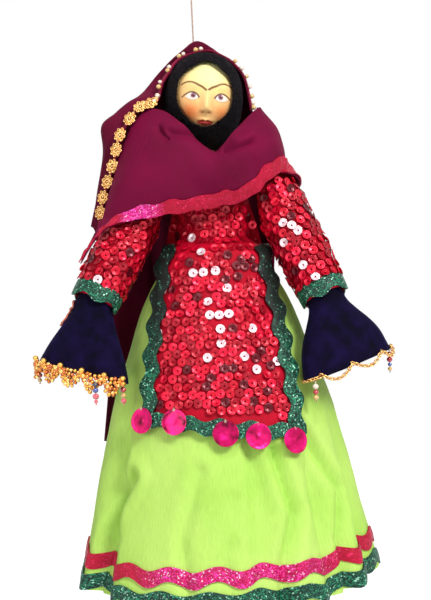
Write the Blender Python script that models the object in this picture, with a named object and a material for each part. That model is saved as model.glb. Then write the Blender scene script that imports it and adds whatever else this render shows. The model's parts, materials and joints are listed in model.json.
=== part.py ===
"""A topsy turvy doll on its hanging string: a dressed figure, and a second one head down under the skirt.

The origin is the point in the hanging loop that holds the doll up. The doll faces -Y, and +X is on the
right as it is looked at. Every place is worked out downwards from the loop, along the doll's axis.
"""

import math

import bmesh
import bpy
from mathutils import Matrix, Vector
from mathutils.bvhtree import BVHTree

# The space between pieces that touch, and the thickness of the cloths.
GAP = 0.0003
CLOTH = 0.0008
DRAPE_CLEARANCE = 0.0017
SLEEVE_EASE = 0.0028
LAYER_CLEARANCE = 0.0018
CUT_OVERRUN = 0.002
EDGE_SHARE = 0.7

# The string, its loop and its knots.
STRING_DIAMETER = 0.0012
LOOP_HEIGHT = 0.020
LOOP_HALF_WIDTH = 0.006
KNOT_DIAMETER = 0.0042
KNOT_HEIGHT = 0.005
CROWN_KNOT_HEIGHT = 0.0026
CROWN_DROP = 0.0735

# The doll's axis lies beside the string, because the arms and the veil hang out further on one side.
AXIS_X = 0.0075

# The head in its hood.
HOOD_HALF_WIDTH = 0.0273
HOOD_HALF_DEPTH = 0.026
HOOD_HALF_HEIGHT = 0.0330
HOOD_SHIFT_X = -0.0023
FACE_HALF_WIDTH = 0.0187
FACE_HALF_HEIGHT = 0.0225
FACE_RISE = 0.0026
HEAD_HALF_WIDTH = 0.0236
HEAD_HALF_DEPTH = 0.0242
HEAD_HALF_HEIGHT = 0.0272
HEAD_SQUARENESS = 2.2
HEAD_CLEARANCE = 0.0011
NOSE_LENGTH = 0.0025
CHIN_SHARE = 0.10
HEAD_ROLL_DEG = 6.5
HEAD_TURN_DEG = 3.5
NECK_DIAMETER = 0.012
NECK_SOCKET_DEPTH = 0.012
NECK_LENGTH = 0.004

# The stuffed body, from the neck down to the waist seam.
BODY_LENGTH = 0.069
BODY_HALF_WIDTH = 0.0245
BODY_HALF_DEPTH = 0.0175
BODY_SHARES = (
    (0.0, 0.80), (0.12, 0.82), (0.35, 0.88), (0.60, 0.97), (0.78, 1.0), (0.90, 0.86), (0.97, 0.60), (1.0, 0.46),
)
WAIST_BAND_HEIGHT = 0.016
WAIST_BAND_THICKNESS = 0.0010

# The arms, from the shoulder's pivot to the end of the sleeve.
SHOULDER_DROP = 0.016
SHOULDER_HALF_WIDTH = 0.0385
SHOULDER_Y = -0.002
ARM_LENGTH = 0.098
ARM_RADIUS = 0.0090
WRIST_RADIUS = 0.0062
SLEEVE_TOP_DROP = 0.0035
SLEEVE_TOP_SLANT = 0.0080
SLEEVE_RADIUS = 0.0160
SLEEVE_ROOT_RADIUS = 0.0105
SLEEVE_CUFF_RADIUS = 0.0150
ARM_FORWARD_DEG = 19.0
RIGHT_ARM_OUT_DEG = 20.8
LEFT_ARM_OUT_DEG = 26.4
CUFF_TRIM_WIDTH = 0.0095
CUFF_TRIM_WAVE = 0.0012
CUFF_FLATNESS_SHARE = 0.80
HAND_LENGTH = 0.016
HAND_HALF_WIDTH = 0.0062
HAND_HALF_DEPTH = 0.0042

# The velvet bells below the cuffs.
BELL_LENGTH = 0.046
BELL_NECK_RADIUS = 0.0086
BELL_HALF_WIDTH = 0.0325
BELL_HALF_DEPTH = 0.0135
BELL_SLANT = 0.0012
VELVET = 0.0011
BELL_NECK_DROP = 0.003
RIGHT_BELL_OUT_DEG = 16.0
LEFT_BELL_OUT_DEG = 12.0
BELL_TURN_DEG = 20.0
BELL_SHARES = (
    (0.0, 0.0), (0.02, 0.0), (0.10, 0.10), (0.25, 0.27), (0.45, 0.50), (0.70, 0.76), (0.88, 0.92), (1.0, 1.0),
)

# The chains and beads on the bells.
CHAIN_DIAMETER = 0.0024
SWAG_DROP = 0.006
DROP_LENGTH = 0.013
BEAD_DIAMETER = 0.0034
DROP_THREAD_DIAMETER = 0.0011

# The tunic.
TUNIC_LENGTH = 0.116
TUNIC_TOP_DROP = 0.009
TUNIC_HALF_WIDTH = 0.0515
TUNIC_BACK_HALF_WIDTH = 0.046
TUNIC_HEM_SLANT = 0.006
TUNIC_LIFT = 0.0016
TUNIC_STANDOFF = 0.012
PANEL_COLUMNS = 12
PANEL_ROWS = 11
TRIM_START_SHARE = 0.32
TRIM_WIDTH = 0.0092
TRIM_WAVE = 0.0012
TRIM_WAVE_LENGTH = 0.020
TRIM_THICKNESS = 0.0009
PAILLETTE_DIAMETER = 0.017
PAILLETTE_THICKNESS = 0.0005
PAILLETTE_EYE_INSET = 0.0006

# The skirt.
SKIRT_LENGTH = 0.232
SKIRT_HALF_WIDTH = 0.105
SKIRT_HALF_DEPTH = 0.078
SKIRT_CLOTH = 0.0009
SKIRT_SHARES = (
    (0.05, 0.36), (0.138, 0.476), (0.30, 0.61), (0.42, 0.712), (0.60, 0.81), (0.82, 0.91), (1.0, 1.0),
)
SKIRT_COLUMNS = 48
FOLD_DEPTH = 0.0105
LINING_RISE = 0.004
LINING_DROP = 0.005
LINING_INSET = 0.0110
RIBBON_WIDTH = 0.0100
RIBBON_WAVE = 0.0022
RIBBON_DROP_SHARE = 0.905
HEM_TRIM_WIDTH = 0.0100
HEM_TRIM_WAVE = 0.0020
HEM_SIDE_LIFT = 0.010
LIFT_START_SHARE = 0.35
WAVES_ROUND_HEM = 20

# The veil and the shawl.
VEIL_PEAK_RISE = 0.0085
VEIL_SPREAD = 0.0740
VEIL_DEPTH = 0.030
VEIL_DROP = 0.280
VEIL_PLEAT_HEIGHT = 0.0038
VEIL_PLEATS = 4.5
PLEAT_START_SHARE = 0.45
SHAWL_HALF_WIDTH = 0.0575
SHAWL_DEPTH = 0.040
SHAWL_DROP = 0.110
SHAWL_RISE_SHARE = 0.05
BRAID_COLUMNS = (0, 27)
BRAID_THICKNESS = 0.0016
SHAWL_ROWS = 8
SHAWL_COLUMNS = 30
RIBBON_COLUMNS = 17
WRIST_STRIP_LENGTH = 0.017

# The places of the veil's rows, as shares of its columns.
VEIL_ROW_SHARES = (
    (0.0,), (1 / 6,), (1.5 / 6,), (2 / 6,), (2.5 / 6,), (3 / 6,), (3.5 / 6,), (4 / 6,), (5 / 6,), (1.0,),
)

# The second figure, head down under the skirt.
LOWER_BODY_LENGTH = 0.064
LOWER_NECK_LENGTH = 0.005
LOWER_HEAD_SHARE = 0.94
LOWER_ARM_LENGTH = 0.066
LOWER_ARM_RADIUS = 0.0075
LOWER_SHOULDER_HALF_WIDTH = 0.037

# Heights of the main seams, worked out from the sizes above.
HOOD_Z = -CROWN_DROP - HOOD_HALF_HEIGHT
FACE_Z = HOOD_Z + FACE_RISE
BODY_TOP_Z = HOOD_Z - HOOD_HALF_HEIGHT - NECK_LENGTH
WAIST_Z = BODY_TOP_Z - BODY_LENGTH
SHOULDER_Z = BODY_TOP_Z - SHOULDER_DROP
LOWER_TOP_Z = WAIST_Z - LOWER_BODY_LENGTH
HOOD_X = AXIS_X + HOOD_SHIFT_X


def clear_scene():
    for thing in list(bpy.data.objects):
        bpy.data.objects.remove(thing, do_unlink=True)


# The finishes: colour, roughness and how metallic each is.
FINISH_SHARES = {
    "string": ((0.58, 0.36, 0.29), 0.8, 0.0),
    "painted_face": ((0.93, 0.66, 0.42), 0.55, 0.0),
    "black_wool": ((0.02, 0.018, 0.02), 0.95, 0.0),
    "wood": ((0.55, 0.38, 0.22), 0.6, 0.0),
    "calico": ((0.80, 0.52, 0.38), 0.9, 0.0),
    "waist_tape": ((0.30, 0.02, 0.08), 0.9, 0.0),
    "green_cloth": ((0.42, 0.78, 0.14), 0.8, 0.0),
    "lining_cloth": ((0.06, 0.03, 0.20), 0.85, 0.0),
    "red_glitter": ((0.65, 0.01, 0.12), 0.35, 0.3),
    "green_glitter": ((0.01, 0.12, 0.07), 0.35, 0.3),
    "sequins": ((0.62, 0.005, 0.03), 0.3, 0.2),
    "magenta_foil": ((0.55, 0.0, 0.13), 0.15, 0.8),
    "navy_velvet": ((0.012, 0.008, 0.06), 0.95, 0.0),
    "gold_chain": ((0.72, 0.46, 0.14), 0.3, 1.0),
    "coral_ribbon": ((0.80, 0.22, 0.14), 0.6, 0.0),
    "glass_beads": ((0.75, 0.20, 0.22), 0.2, 0.0),
    "wine_cloth": ((0.24, 0.006, 0.06), 0.7, 0.0),
}


def finish(name):
    """The Principled material of that name, made the first time that it is asked for."""
    if name in bpy.data.materials:
        return bpy.data.materials[name]
    colour, roughness, metallic = FINISH_SHARES[name]
    made = bpy.data.materials.new(name)
    made.use_nodes = True
    shader = made.node_tree.nodes["Principled BSDF"]
    shader.inputs["Base Color"].default_value = (*colour, 1.0)
    shader.inputs["Roughness"].default_value = roughness
    shader.inputs["Metallic"].default_value = metallic
    return made


def piece(name, bm, material, smooth=True):
    """An object from a bmesh, with its faces turned outwards."""
    bmesh.ops.recalc_face_normals(bm, faces=bm.faces)
    mesh = bpy.data.meshes.new(name)
    bm.to_mesh(mesh)
    bm.free()
    if smooth:
        mesh.shade_smooth()
        mesh.set_sharp_from_angle(angle=math.radians(50))
    mesh.materials.append(finish(material))
    made = bpy.data.objects.new(name, mesh)
    bpy.context.scene.collection.objects.link(made)
    return made


def thicken(thing, thickness, offset=0.0):
    """A cloth's two faces and its rims."""
    solid = thing.modifiers.new("Thickness", "SOLIDIFY")
    solid.thickness = thickness
    solid.offset = offset
    return thing


def grid(place, across, down, wrap=False):
    """A grid whose points are placed by a rule of two shares, from 0 to 1. A wrapped one is a tube."""
    bm = bmesh.new()
    bmesh.ops.create_grid(bm, x_segments=across, y_segments=down, size=0.5)
    for vertex in bm.verts:
        vertex.co = place(vertex.co.x + 0.5, vertex.co.y + 0.5)
    if wrap:
        bmesh.ops.remove_doubles(bm, verts=bm.verts, dist=GAP / 100)
    bmesh.ops.triangulate(bm, faces=bm.faces, quad_method="FIXED")
    return bm


def cloth(name, place, across, down, thickness, material, wrap=False):
    return thicken(piece(name, grid(place, across, down, wrap), material), thickness)


def surface_of(thing):
    """The facets of a piece's mesh, without its thickness, for other pieces to be laid on."""
    bm = bmesh.new()
    bm.from_mesh(thing.data)
    tree = BVHTree.FromBMesh(bm)
    bm.free()
    return tree


def nearest_facet(surface, point, outwards):
    """The nearest place on a surface, and its normal on the side that outwards points to."""
    near, normal, _, _ = surface.find_nearest(point)
    return near, normal if normal.dot(outwards) >= 0 else -normal


def laid_on(surface, point, lift, outwards):
    """The point, moved along the normal of the nearest facet until it lies this far off its plane."""
    near, normal = nearest_facet(surface, point, outwards)
    return point + normal * (lift - (point - near).dot(normal))


def raised_strip(name, place, counts, columns, row, lift, outwards, thickness, material):
    """A strip sewn along one row of a cloth's facets, between two of its columns, and lifted off it."""
    across_count, down_count = counts
    first, last = columns

    def at(i, j):
        return place(min(max(i, 0), across_count) / across_count, min(max(j, 0), down_count) / down_count)

    def lifted(u, v):
        i = round(first + (last - first) * u)
        j = row + round(v)
        here = at(i, j)
        normal = (at(i + 1, j) - at(i - 1, j)).cross(at(i, j + 1) - at(i, j - 1)).normalized()
        if normal.dot(outwards(here)) < 0:
            normal.negate()
        return here + normal * (lift + thickness / 2)

    return cloth(name, lifted, last - first, 1, thickness, material)


def clear_of(surface, point, clearance, outwards, within):
    """The point, moved outwards until it lies this far off a surface, where that surface is near."""
    near, normal = nearest_facet(surface, point, outwards)
    away = point - near
    height = away.dot(normal)
    beyond_its_edge = away.length > clearance and abs(height) < EDGE_SHARE * away.length
    if height >= clearance or away.length > within or beyond_its_edge:
        return point
    return point + normal * (clearance - height)


def capped_tube(name, place, around, along, material):
    """A solid whose rings are placed by a rule, with flat ends."""
    bm = grid(place, around, along, wrap=True)
    bmesh.ops.holes_fill(bm, edges=[edge for edge in bm.edges if edge.is_boundary])
    return piece(name, bm, material)


def limb(name, path, radii, around, material):
    """A stuffed limb, whose round rings follow a path that stays in one upright plane."""
    last = len(path) - 1
    level = Vector((0.0, 1.0, 0.0))

    def place(u, v):
        i = round(v * last)
        along = (path[min(i + 1, last)] - path[max(i - 1, 0)]).normalized()
        side = along.cross(level).normalized()
        angle = 2 * math.pi * u
        return path[i] + (side * math.cos(angle) + level * math.sin(angle)) * radii[i]

    return capped_tube(name, place, around, last, material)


def ball(name, place, around, rings, material):
    """A sphere whose points are moved by a rule."""
    bm = bmesh.new()
    bmesh.ops.create_uvsphere(bm, u_segments=around, v_segments=rings, radius=1.0)
    for vertex in bm.verts:
        vertex.co = place(vertex.co.copy())
    return piece(name, bm, material)


def cutter(name, radius, top, bottom, x, y=0.0):
    """An upright round cutter."""
    bm = bmesh.new()
    bmesh.ops.create_cone(
        bm, cap_ends=True, segments=20, radius1=radius, radius2=radius, depth=top - bottom,
        matrix=Matrix.Translation((x, y, (top + bottom) / 2)),
    )
    made = piece(name, bm, "string", smooth=False)
    made.hide_render = True
    made.display_type = "WIRE"
    return made


def cut(thing, tool):
    boolean = thing.modifiers.new("Cut", "BOOLEAN")
    boolean.operation = "DIFFERENCE"
    boolean.object = tool


def at_share(shares, t):
    """The value of a table of (place, value) shares at t, on straight lines between its rows."""
    for (t0, v0), (t1, v1) in zip(shares, shares[1:]):
        if t <= t1:
            return v0 + (v1 - v0) * max(0.0, t - t0) / (t1 - t0)
    return shares[-1][1]


def smooth_step(t):
    t = min(1.0, max(0.0, t))
    return t * t * (3 - 2 * t)


def through(points, t):
    """A point on the smooth curve through these points."""
    last = len(points) - 1
    at = min(max(t, 0.0), 1.0) * last
    i = min(int(at), last - 1)
    f = at - i
    a = points[max(i - 1, 0)]
    b = points[i]
    c = points[i + 1]
    d = points[min(i + 2, last)]
    bend = (2 * a - 5 * b + 4 * c - d) * f ** 2
    twist = (3 * b - a - 3 * c + d) * f ** 3
    return 0.5 * (2 * b + (c - a) * f + bend + twist)


def on_net(net, u, v):
    """A point on the smooth surface through a net: u runs over its columns and v down each column."""
    return through([through(column, v) for column in net], u)


# The shapes under the clothes, which every cloth is kept outside of.


def head_turn():
    turn = Matrix.Rotation(math.radians(HEAD_TURN_DEG), 3, "Z")
    return turn @ Matrix.Rotation(math.radians(HEAD_ROLL_DEG), 3, "Y")


def out_of_hood(point, clearance):
    """The point, moved outwards until it lies this far outside the hood."""
    centre = Vector((HOOD_X, 0.0, HOOD_Z))
    local = head_turn().transposed() @ (point - centre)
    reach = Vector((HOOD_HALF_WIDTH + clearance, HOOD_HALF_DEPTH + clearance, HOOD_HALF_HEIGHT + clearance))
    shares = (local.x / reach.x, local.y / reach.y, local.z / reach.z)
    depth = sum(abs(share) ** HEAD_SQUARENESS for share in shares) ** (1 / HEAD_SQUARENESS)
    if depth >= 1.0:
        return point
    return centre + head_turn() @ (local / max(depth, 0.05))


def body_half(z):
    """The stuffed body's half width and half depth at a height."""
    t = min(1.0, max(0.0, (z - WAIST_Z) / BODY_LENGTH))
    share = at_share(BODY_SHARES, t)
    return BODY_HALF_WIDTH * share, BODY_HALF_DEPTH * share


def waist_half():
    """The skirt's outer half width and half depth where it is sewn to the waist band."""
    reach = 2 * GAP + WAIST_BAND_THICKNESS + SKIRT_CLOTH
    return tuple(half + reach for half in body_half(WAIST_Z))


def skirt_half(z):
    """The skirt's outer half width and half depth at a height."""
    t = min(1.0, max(0.0, (WAIST_Z - z) / SKIRT_LENGTH))
    first, share = SKIRT_SHARES[0]
    if t < first:
        low = (SKIRT_HALF_WIDTH * share, SKIRT_HALF_DEPTH * share)
        return tuple(w + (h - w) * t / first for w, h in zip(waist_half(), low))
    share = at_share(SKIRT_SHARES, t)
    return SKIRT_HALF_WIDTH * share, SKIRT_HALF_DEPTH * share


def tunic_half(z):
    """The outline on which the tunic hangs: the body at the chest, then out over the waist's gathers."""
    body = body_half(z)
    near = smooth_step((z - WAIST_Z + 3 * TUNIC_STANDOFF) / (3 * TUNIC_STANDOFF))
    skirt = skirt_half(z - TUNIC_STANDOFF * near)
    flare = smooth_step((SHOULDER_Z - z) / (SHOULDER_Z - WAIST_Z))
    lift = TUNIC_LIFT + CLOTH
    return tuple(b + lift + (max(s, b) - b) * flare for b, s in zip(body, skirt))


def arm_out_deg(side):
    return LEFT_ARM_OUT_DEG if side < 0 else RIGHT_ARM_OUT_DEG


def arm_turn(side):
    """How an arm that hangs straight down is turned to its place."""
    lean = Matrix.Rotation(-math.radians(ARM_FORWARD_DEG), 4, "X")
    return lean @ Matrix.Rotation(-side * math.radians(arm_out_deg(side)), 4, "Y")


def shoulder(side):
    return Vector((AXIS_X + side * SHOULDER_HALF_WIDTH, SHOULDER_Y, SHOULDER_Z))


def wrist(side):
    return shoulder(side) + arm_turn(side).to_3x3() @ Vector((0.0, 0.0, -ARM_LENGTH))


def out_of_sleeve(point, side, clearance):
    start = shoulder(side)
    run = wrist(side) - start
    t = min(1.0, max(0.0, (point - start).dot(run) / run.length_squared))
    nearest = start + run * t
    away = point - nearest
    reach = sleeve_radius(t) + CLOTH + clearance
    if away.length >= reach:
        return point
    if away.length < GAP:
        away = Vector((0.0, -1.0, 0.0))
    return nearest + away.normalized() * reach


def out_of_tunic(point, clearance):
    """The point, moved outwards from the body's axis until it clears the tunic."""
    if point.z > BODY_TOP_Z or point.z < WAIST_Z:
        return point
    half = tunic_half(point.z)
    x = (point.x - AXIS_X) / (half[0] + CLOTH + clearance)
    y = point.y / (half[1] + CLOTH + clearance)
    depth = math.hypot(x, y)
    if depth >= 1.0:
        return point
    grow = 1.0 / max(depth, 0.05)
    return Vector((AXIS_X + (point.x - AXIS_X) * grow, point.y * grow, point.z))


def drape(point, clearance):
    """The point, kept clear of the hood, the tunic and both sleeves."""
    for _ in range(3):
        point = out_of_tunic(point, clearance)
        point = out_of_sleeve(point, -1, clearance + SLEEVE_EASE)
        point = out_of_sleeve(point, 1, clearance + SLEEVE_EASE)
        point = out_of_hood(point, clearance)
    return point


def on_doll(x, y, z):
    """A point by its place from the doll's own axis."""
    return Vector((AXIS_X + x, y, z))


# The string.


def cord(name, points, closed_ends=True):
    curve = bpy.data.curves.new(name, "CURVE")
    curve.dimensions = "3D"
    curve.bevel_depth = STRING_DIAMETER / 2
    curve.bevel_resolution = 1
    curve.use_fill_caps = closed_ends
    spline = curve.splines.new("POLY")
    spline.points.add(len(points) - 1)
    for place, point in zip(spline.points, points):
        place.co = (*point, 1.0)
    curve.materials.append(finish("string"))
    made = bpy.data.objects.new(name, curve)
    bpy.context.scene.collection.objects.link(made)
    return made


def string_foot_z():
    """The height of the hood's top straight under the string."""
    start = Vector((0.0, 0.0, HOOD_Z + HOOD_HALF_HEIGHT / 2))
    end = Vector((0.0, 0.0, HOOD_Z + 2 * HOOD_HALF_HEIGHT))
    for _ in range(40):
        middle = (start + end) / 2
        if (out_of_hood(middle, 0.0) - middle).length > 0.0:
            start = middle
        else:
            end = middle
    return end.z


def knot(name, z, height):
    """A small round knot with a wound waist."""

    def place(co):
        swell = KNOT_DIAMETER / 2 * (1.0 + 0.10 * math.cos(3 * math.pi * co.z))
        return Vector((co.x * swell, co.y * swell, z + co.z * height / 2))

    return ball(name, place, 8, 7, "string")


def make_string():
    knot_top = -LOOP_HEIGHT
    half_turns = 22
    end_gap_share = 0.055
    loop = []
    for i in range(half_turns + 1):
        angle = math.pi * 2 * (end_gap_share + (1 - 2 * end_gap_share) * i / half_turns) - math.pi / 2
        drop = (1 - math.sin(angle)) / 2
        narrow = math.cos(angle) * (1 - 0.45 * drop)
        loop.append((LOOP_HALF_WIDTH * narrow, 0.0, STRING_DIAMETER / 2 + (knot_top + GAP) * drop))
    loop[0] = (STRING_DIAMETER, 0.0, knot_top - GAP)
    loop[-1] = (-STRING_DIAMETER, 0.0, knot_top - GAP)
    cord("hanging_loop", loop)
    knot("loop_knot", knot_top - KNOT_HEIGHT / 2 - STRING_DIAMETER / 2, KNOT_HEIGHT)
    foot = string_foot_z() + CROWN_KNOT_HEIGHT + 3 * GAP
    top = knot_top - KNOT_HEIGHT - STRING_DIAMETER / 2 - GAP
    steps = 6
    cord("hanging_string", [(0.0, 0.0, top + (foot + GAP - top) * i / steps) for i in range(steps + 1)])
    knot("crown_knot", foot - GAP - CROWN_KNOT_HEIGHT / 2, CROWN_KNOT_HEIGHT)


# The head, its hood and its neck peg.


def rounded_box(co):
    """A point of a sphere of radius 1, moved out towards the corners of its box."""
    power = HEAD_SQUARENESS
    total = abs(co.x) ** power + abs(co.y) ** power + abs(co.z) ** power
    return co * total ** (-1 / power)


def head_shape(co, size_share, narrow_share, spare):
    """A full, rather flat face that narrows to the chin, with a small nose."""
    co = rounded_box(co)
    narrow = 1.0 - narrow_share * smooth_step(-co.z)
    shape = Vector((
        co.x * (HEAD_HALF_WIDTH + spare) * narrow,
        co.y * (HEAD_HALF_DEPTH + spare),
        co.z * (HEAD_HALF_HEIGHT + spare),
    ))
    if co.y < 0 and not spare:
        shape.y -= NOSE_LENGTH * math.exp(-((co.x / 0.13) ** 2) - ((co.z + 0.12) / 0.20) ** 2)
    return shape * size_share


def make_head():
    turn = head_turn()
    centre = Vector((HOOD_X, 0.0, FACE_Z))

    def face(co):
        return centre + turn @ head_shape(co, 1.0, CHIN_SHARE, 0.0)

    head = ball("head", face, 20, 12, "painted_face")
    socket_top = FACE_Z - HEAD_HALF_HEIGHT + NECK_SOCKET_DEPTH
    peg_bottom = BODY_TOP_Z - NECK_SOCKET_DEPTH
    radius = NECK_DIAMETER / 2
    cut(head, cutter("head_socket", radius + GAP, socket_top, HOOD_Z - HOOD_HALF_HEIGHT, HOOD_X))
    hood = bonnet("hood", HOOD_X, turn, HOOD_Z, FACE_Z, 1.0, 22, 14, "black_wool")
    cut(hood, cutter("hood_neck_hole", radius + 2 * GAP, FACE_Z, BODY_TOP_Z - CUT_OVERRUN, HOOD_X))
    bm = bmesh.new()
    top = socket_top - GAP
    bottom = peg_bottom + GAP
    bmesh.ops.create_cone(
        bm, cap_ends=True, segments=20, radius1=radius, radius2=radius, depth=top - bottom,
        matrix=Matrix.Translation((HOOD_X, 0.0, (top + bottom) / 2)),
    )
    piece("neck_peg", bm, "wood")


def bonnet(name, x, turn, hood_z, face_z, size_share, around, rings, material):
    """A bonnet with a rolled edge round the face, whose inner face follows the head."""
    centre = Vector((x, 0.0, hood_z))
    face_centre = Vector((x, 0.0, face_z))

    def place(co):
        # The sphere's poles lie at the back: its first half is the outer face, and its second the inner one.
        angle = math.atan2(co.y, co.x)
        t = math.acos(max(-1.0, min(1.0, co.z))) / math.pi
        outer = t <= 0.5
        s = (t if outer else 1.0 - t) * 2
        half = (HOOD_HALF_WIDTH, HOOD_HALF_HEIGHT) if outer else (HEAD_HALF_WIDTH, HEAD_HALF_HEIGHT)
        edge_share = math.hypot(
            FACE_HALF_WIDTH / half[0] * math.cos(angle), FACE_HALF_HEIGHT / half[1] * math.sin(angle),
        )
        polar = s * (math.pi - math.asin(min(0.90, edge_share)))
        across = math.sin(polar)
        round_point = Vector((across * math.cos(angle), math.cos(polar), across * math.sin(angle)))
        if not outer:
            return face_centre + turn @ head_shape(round_point, 1.0, 0.0, HEAD_CLEARANCE) * size_share
        full = rounded_box(round_point)
        local = Vector((full.x * HOOD_HALF_WIDTH, full.y * HOOD_HALF_DEPTH, full.z * HOOD_HALF_HEIGHT))
        return centre.lerp(face_centre, smooth_step((s - 0.5) * 2)) + turn @ local * size_share

    return ball(name, place, around, rings, material)


# The stuffed body and its waist band.


def body_place(bottom_z, top_z, u, v):
    """Rings of the stuffed body, from its waist seam to its neck."""
    share = at_share(BODY_SHARES, v)
    angle = 2 * math.pi * u
    z = bottom_z + (top_z - bottom_z) * v
    return Vector((
        AXIS_X + BODY_HALF_WIDTH * share * math.sin(angle), -BODY_HALF_DEPTH * share * math.cos(angle), z,
    ))


def make_bodies():
    upper = capped_tube(
        "upper_body", lambda u, v: body_place(WAIST_Z + GAP / 2, BODY_TOP_Z, u, row_share(BODY_SHARES, v)),
        18, len(BODY_SHARES) - 1, "calico",
    )
    lower = capped_tube(
        "lower_body", lambda u, v: body_place(WAIST_Z - GAP / 2, LOWER_TOP_Z, u, row_share(BODY_SHARES, v)),
        18, len(BODY_SHARES) - 1, "calico",
    )
    radius = NECK_DIAMETER / 2 + GAP
    bottom = BODY_TOP_Z - NECK_SOCKET_DEPTH
    cut(upper, cutter("body_socket", radius, BODY_TOP_Z + CUT_OVERRUN, bottom, HOOD_X))
    top = LOWER_TOP_Z + NECK_SOCKET_DEPTH
    cut(lower, cutter("lower_socket", radius, top, LOWER_TOP_Z - CUT_OVERRUN, AXIS_X))

    def band(u, v):
        angle = 2 * math.pi * u
        share = at_share(BODY_SHARES, WAIST_BAND_HEIGHT / 2 / BODY_LENGTH * 2 * abs(0.5 - v))
        reach = GAP + WAIST_BAND_THICKNESS / 2
        z = WAIST_Z + WAIST_BAND_HEIGHT * (0.5 - v)
        return Vector((
            AXIS_X + (BODY_HALF_WIDTH * share + reach) * math.sin(angle),
            -(BODY_HALF_DEPTH * share + reach) * math.cos(angle), z,
        ))

    cloth("waist_band", band, 24, 1, WAIST_BAND_THICKNESS, "waist_tape", wrap=True)


# The second figure, head down: its neck, head and scarf, its bodice and its arms.

# The heights of the bodice's rows, as shares of the body's length.
BODICE_ROW_SHARES = ((0.14,), (0.35,), (0.60,), (0.78,), (0.90,), (0.94,))


def make_lower_figure():
    turn = Matrix.Rotation(math.pi, 3, "Y")
    size = LOWER_HEAD_SHARE
    hood_z = LOWER_TOP_Z - LOWER_NECK_LENGTH - HOOD_HALF_HEIGHT * size
    head_z = hood_z - FACE_RISE * size
    centre = Vector((AXIS_X, 0.0, head_z))
    head = ball(
        "lower_head", lambda co: centre + turn @ head_shape(co, size, CHIN_SHARE, 0.0), 16, 10,
        "painted_face",
    )
    scarf = bonnet("lower_scarf", AXIS_X, turn, hood_z, head_z, size, 18, 12, "wine_cloth")
    radius = NECK_DIAMETER / 2
    socket = head_z + HEAD_HALF_HEIGHT * size - NECK_SOCKET_DEPTH
    cut(head, cutter("lower_head_socket", radius + GAP, LOWER_TOP_Z, socket, AXIS_X))
    cut(scarf, cutter("lower_scarf_hole", radius + 2 * GAP, LOWER_TOP_Z + CUT_OVERRUN, head_z, AXIS_X))
    top = LOWER_TOP_Z + NECK_SOCKET_DEPTH - GAP
    bottom = socket + GAP
    bm = bmesh.new()
    bmesh.ops.create_cone(
        bm, cap_ends=True, segments=20, radius1=radius, radius2=radius, depth=top - bottom,
        matrix=Matrix.Translation((AXIS_X, 0.0, (top + bottom) / 2)),
    )
    piece("lower_neck_peg", bm, "wood")

    def bodice(u, v):
        point = body_place(WAIST_Z - GAP / 2, LOWER_TOP_Z, u, row_share(BODICE_ROW_SHARES, v))
        out = Vector((point.x - AXIS_X, point.y, 0.0)).normalized()
        return point + out * (CLOTH / 2 + 2 * GAP)

    cloth("lower_bodice", bodice, 18, len(BODICE_ROW_SHARES) - 1, CLOTH, "lining_cloth", wrap=True)
    for side, word in ((1, "right"), (-1, "left")):
        make_lower_arm(side, word)


# A hanging arm's rings: how far down each is, and its radius, as shares of the length and the full radius.
LOWER_ARM_SHARES = (
    (0.20, 1.0), (0.45, 0.97), (0.65, 0.86), (0.76, 0.68), (0.86, 0.84), (0.95, 0.74), (1.0, 0.40),
)


def root_of_arm(side, reach, radius):
    """The rings where an arm comes out of the body's side and turns down: their places and radii."""
    steps = ((1.0, 0.0, 0.66), (0.52, 0.0, 0.72), (0.17, 0.20, 0.84), (-0.03, 0.66, 0.95))
    path = [Vector((-side * reach * across, 0.0, -radius * down)) for across, down, _ in steps]
    return path, [radius * wide for _, _, wide in steps]


def make_lower_arm(side, word):
    """A stuffed arm that hangs beside the lower head, with a mitten hand."""
    reach = LOWER_SHOULDER_HALF_WIDTH - BODY_HALF_WIDTH - CLOTH - 4 * GAP
    path, radii = root_of_arm(side, reach, LOWER_ARM_RADIUS)
    for down, wide in LOWER_ARM_SHARES:
        path.append(Vector((0.0, 0.0, -LOWER_ARM_LENGTH * down)))
        radii.append(LOWER_ARM_RADIUS * wide)
    arm = limb(f"lower_{word}_arm", path, radii, 10, "calico")
    arm.location = (AXIS_X + side * LOWER_SHOULDER_HALF_WIDTH, 0.0, LOWER_TOP_Z + SHOULDER_DROP)


# The skirt with its lining and trims.

# Valleys in the skirt: the turn from the front towards +X, the valley's half width, its depth, and its start.
SKIRT_FOLDS = (
    (-0.152, 0.024, 1.00, 0.30), (0.036, 0.022, 0.50, 0.30), (0.116, 0.020, 0.62, 0.25),
    (0.190, 0.022, 0.75, 0.35), (0.275, 0.024, 0.55, 0.20), (0.362, 0.026, 0.80, 0.30),
    (0.455, 0.026, 0.70, 0.25), (0.548, 0.026, 0.80, 0.30), (0.640, 0.026, 0.70, 0.25),
    (0.745, 0.024, 0.55, 0.20),
)


def skirt_fold(turn, t):
    """How far the skirt is folded inwards there."""
    depth = 0.0
    for where, half, share, start in SKIRT_FOLDS:
        off = (turn - where + 0.5) % 1.0 - 0.5
        depth += share * math.exp(-((off / half) ** 2)) * smooth_step((t - start) / 0.45)
    return FOLD_DEPTH * depth


def side_lift(turn, t):
    """How far the skirt is lifted at its two sides, where it stands out most."""
    low = smooth_step((t - LIFT_START_SHARE) / (1 - LIFT_START_SHARE))
    return HEM_SIDE_LIFT * low * math.sin(2 * math.pi * turn) ** 4


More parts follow.
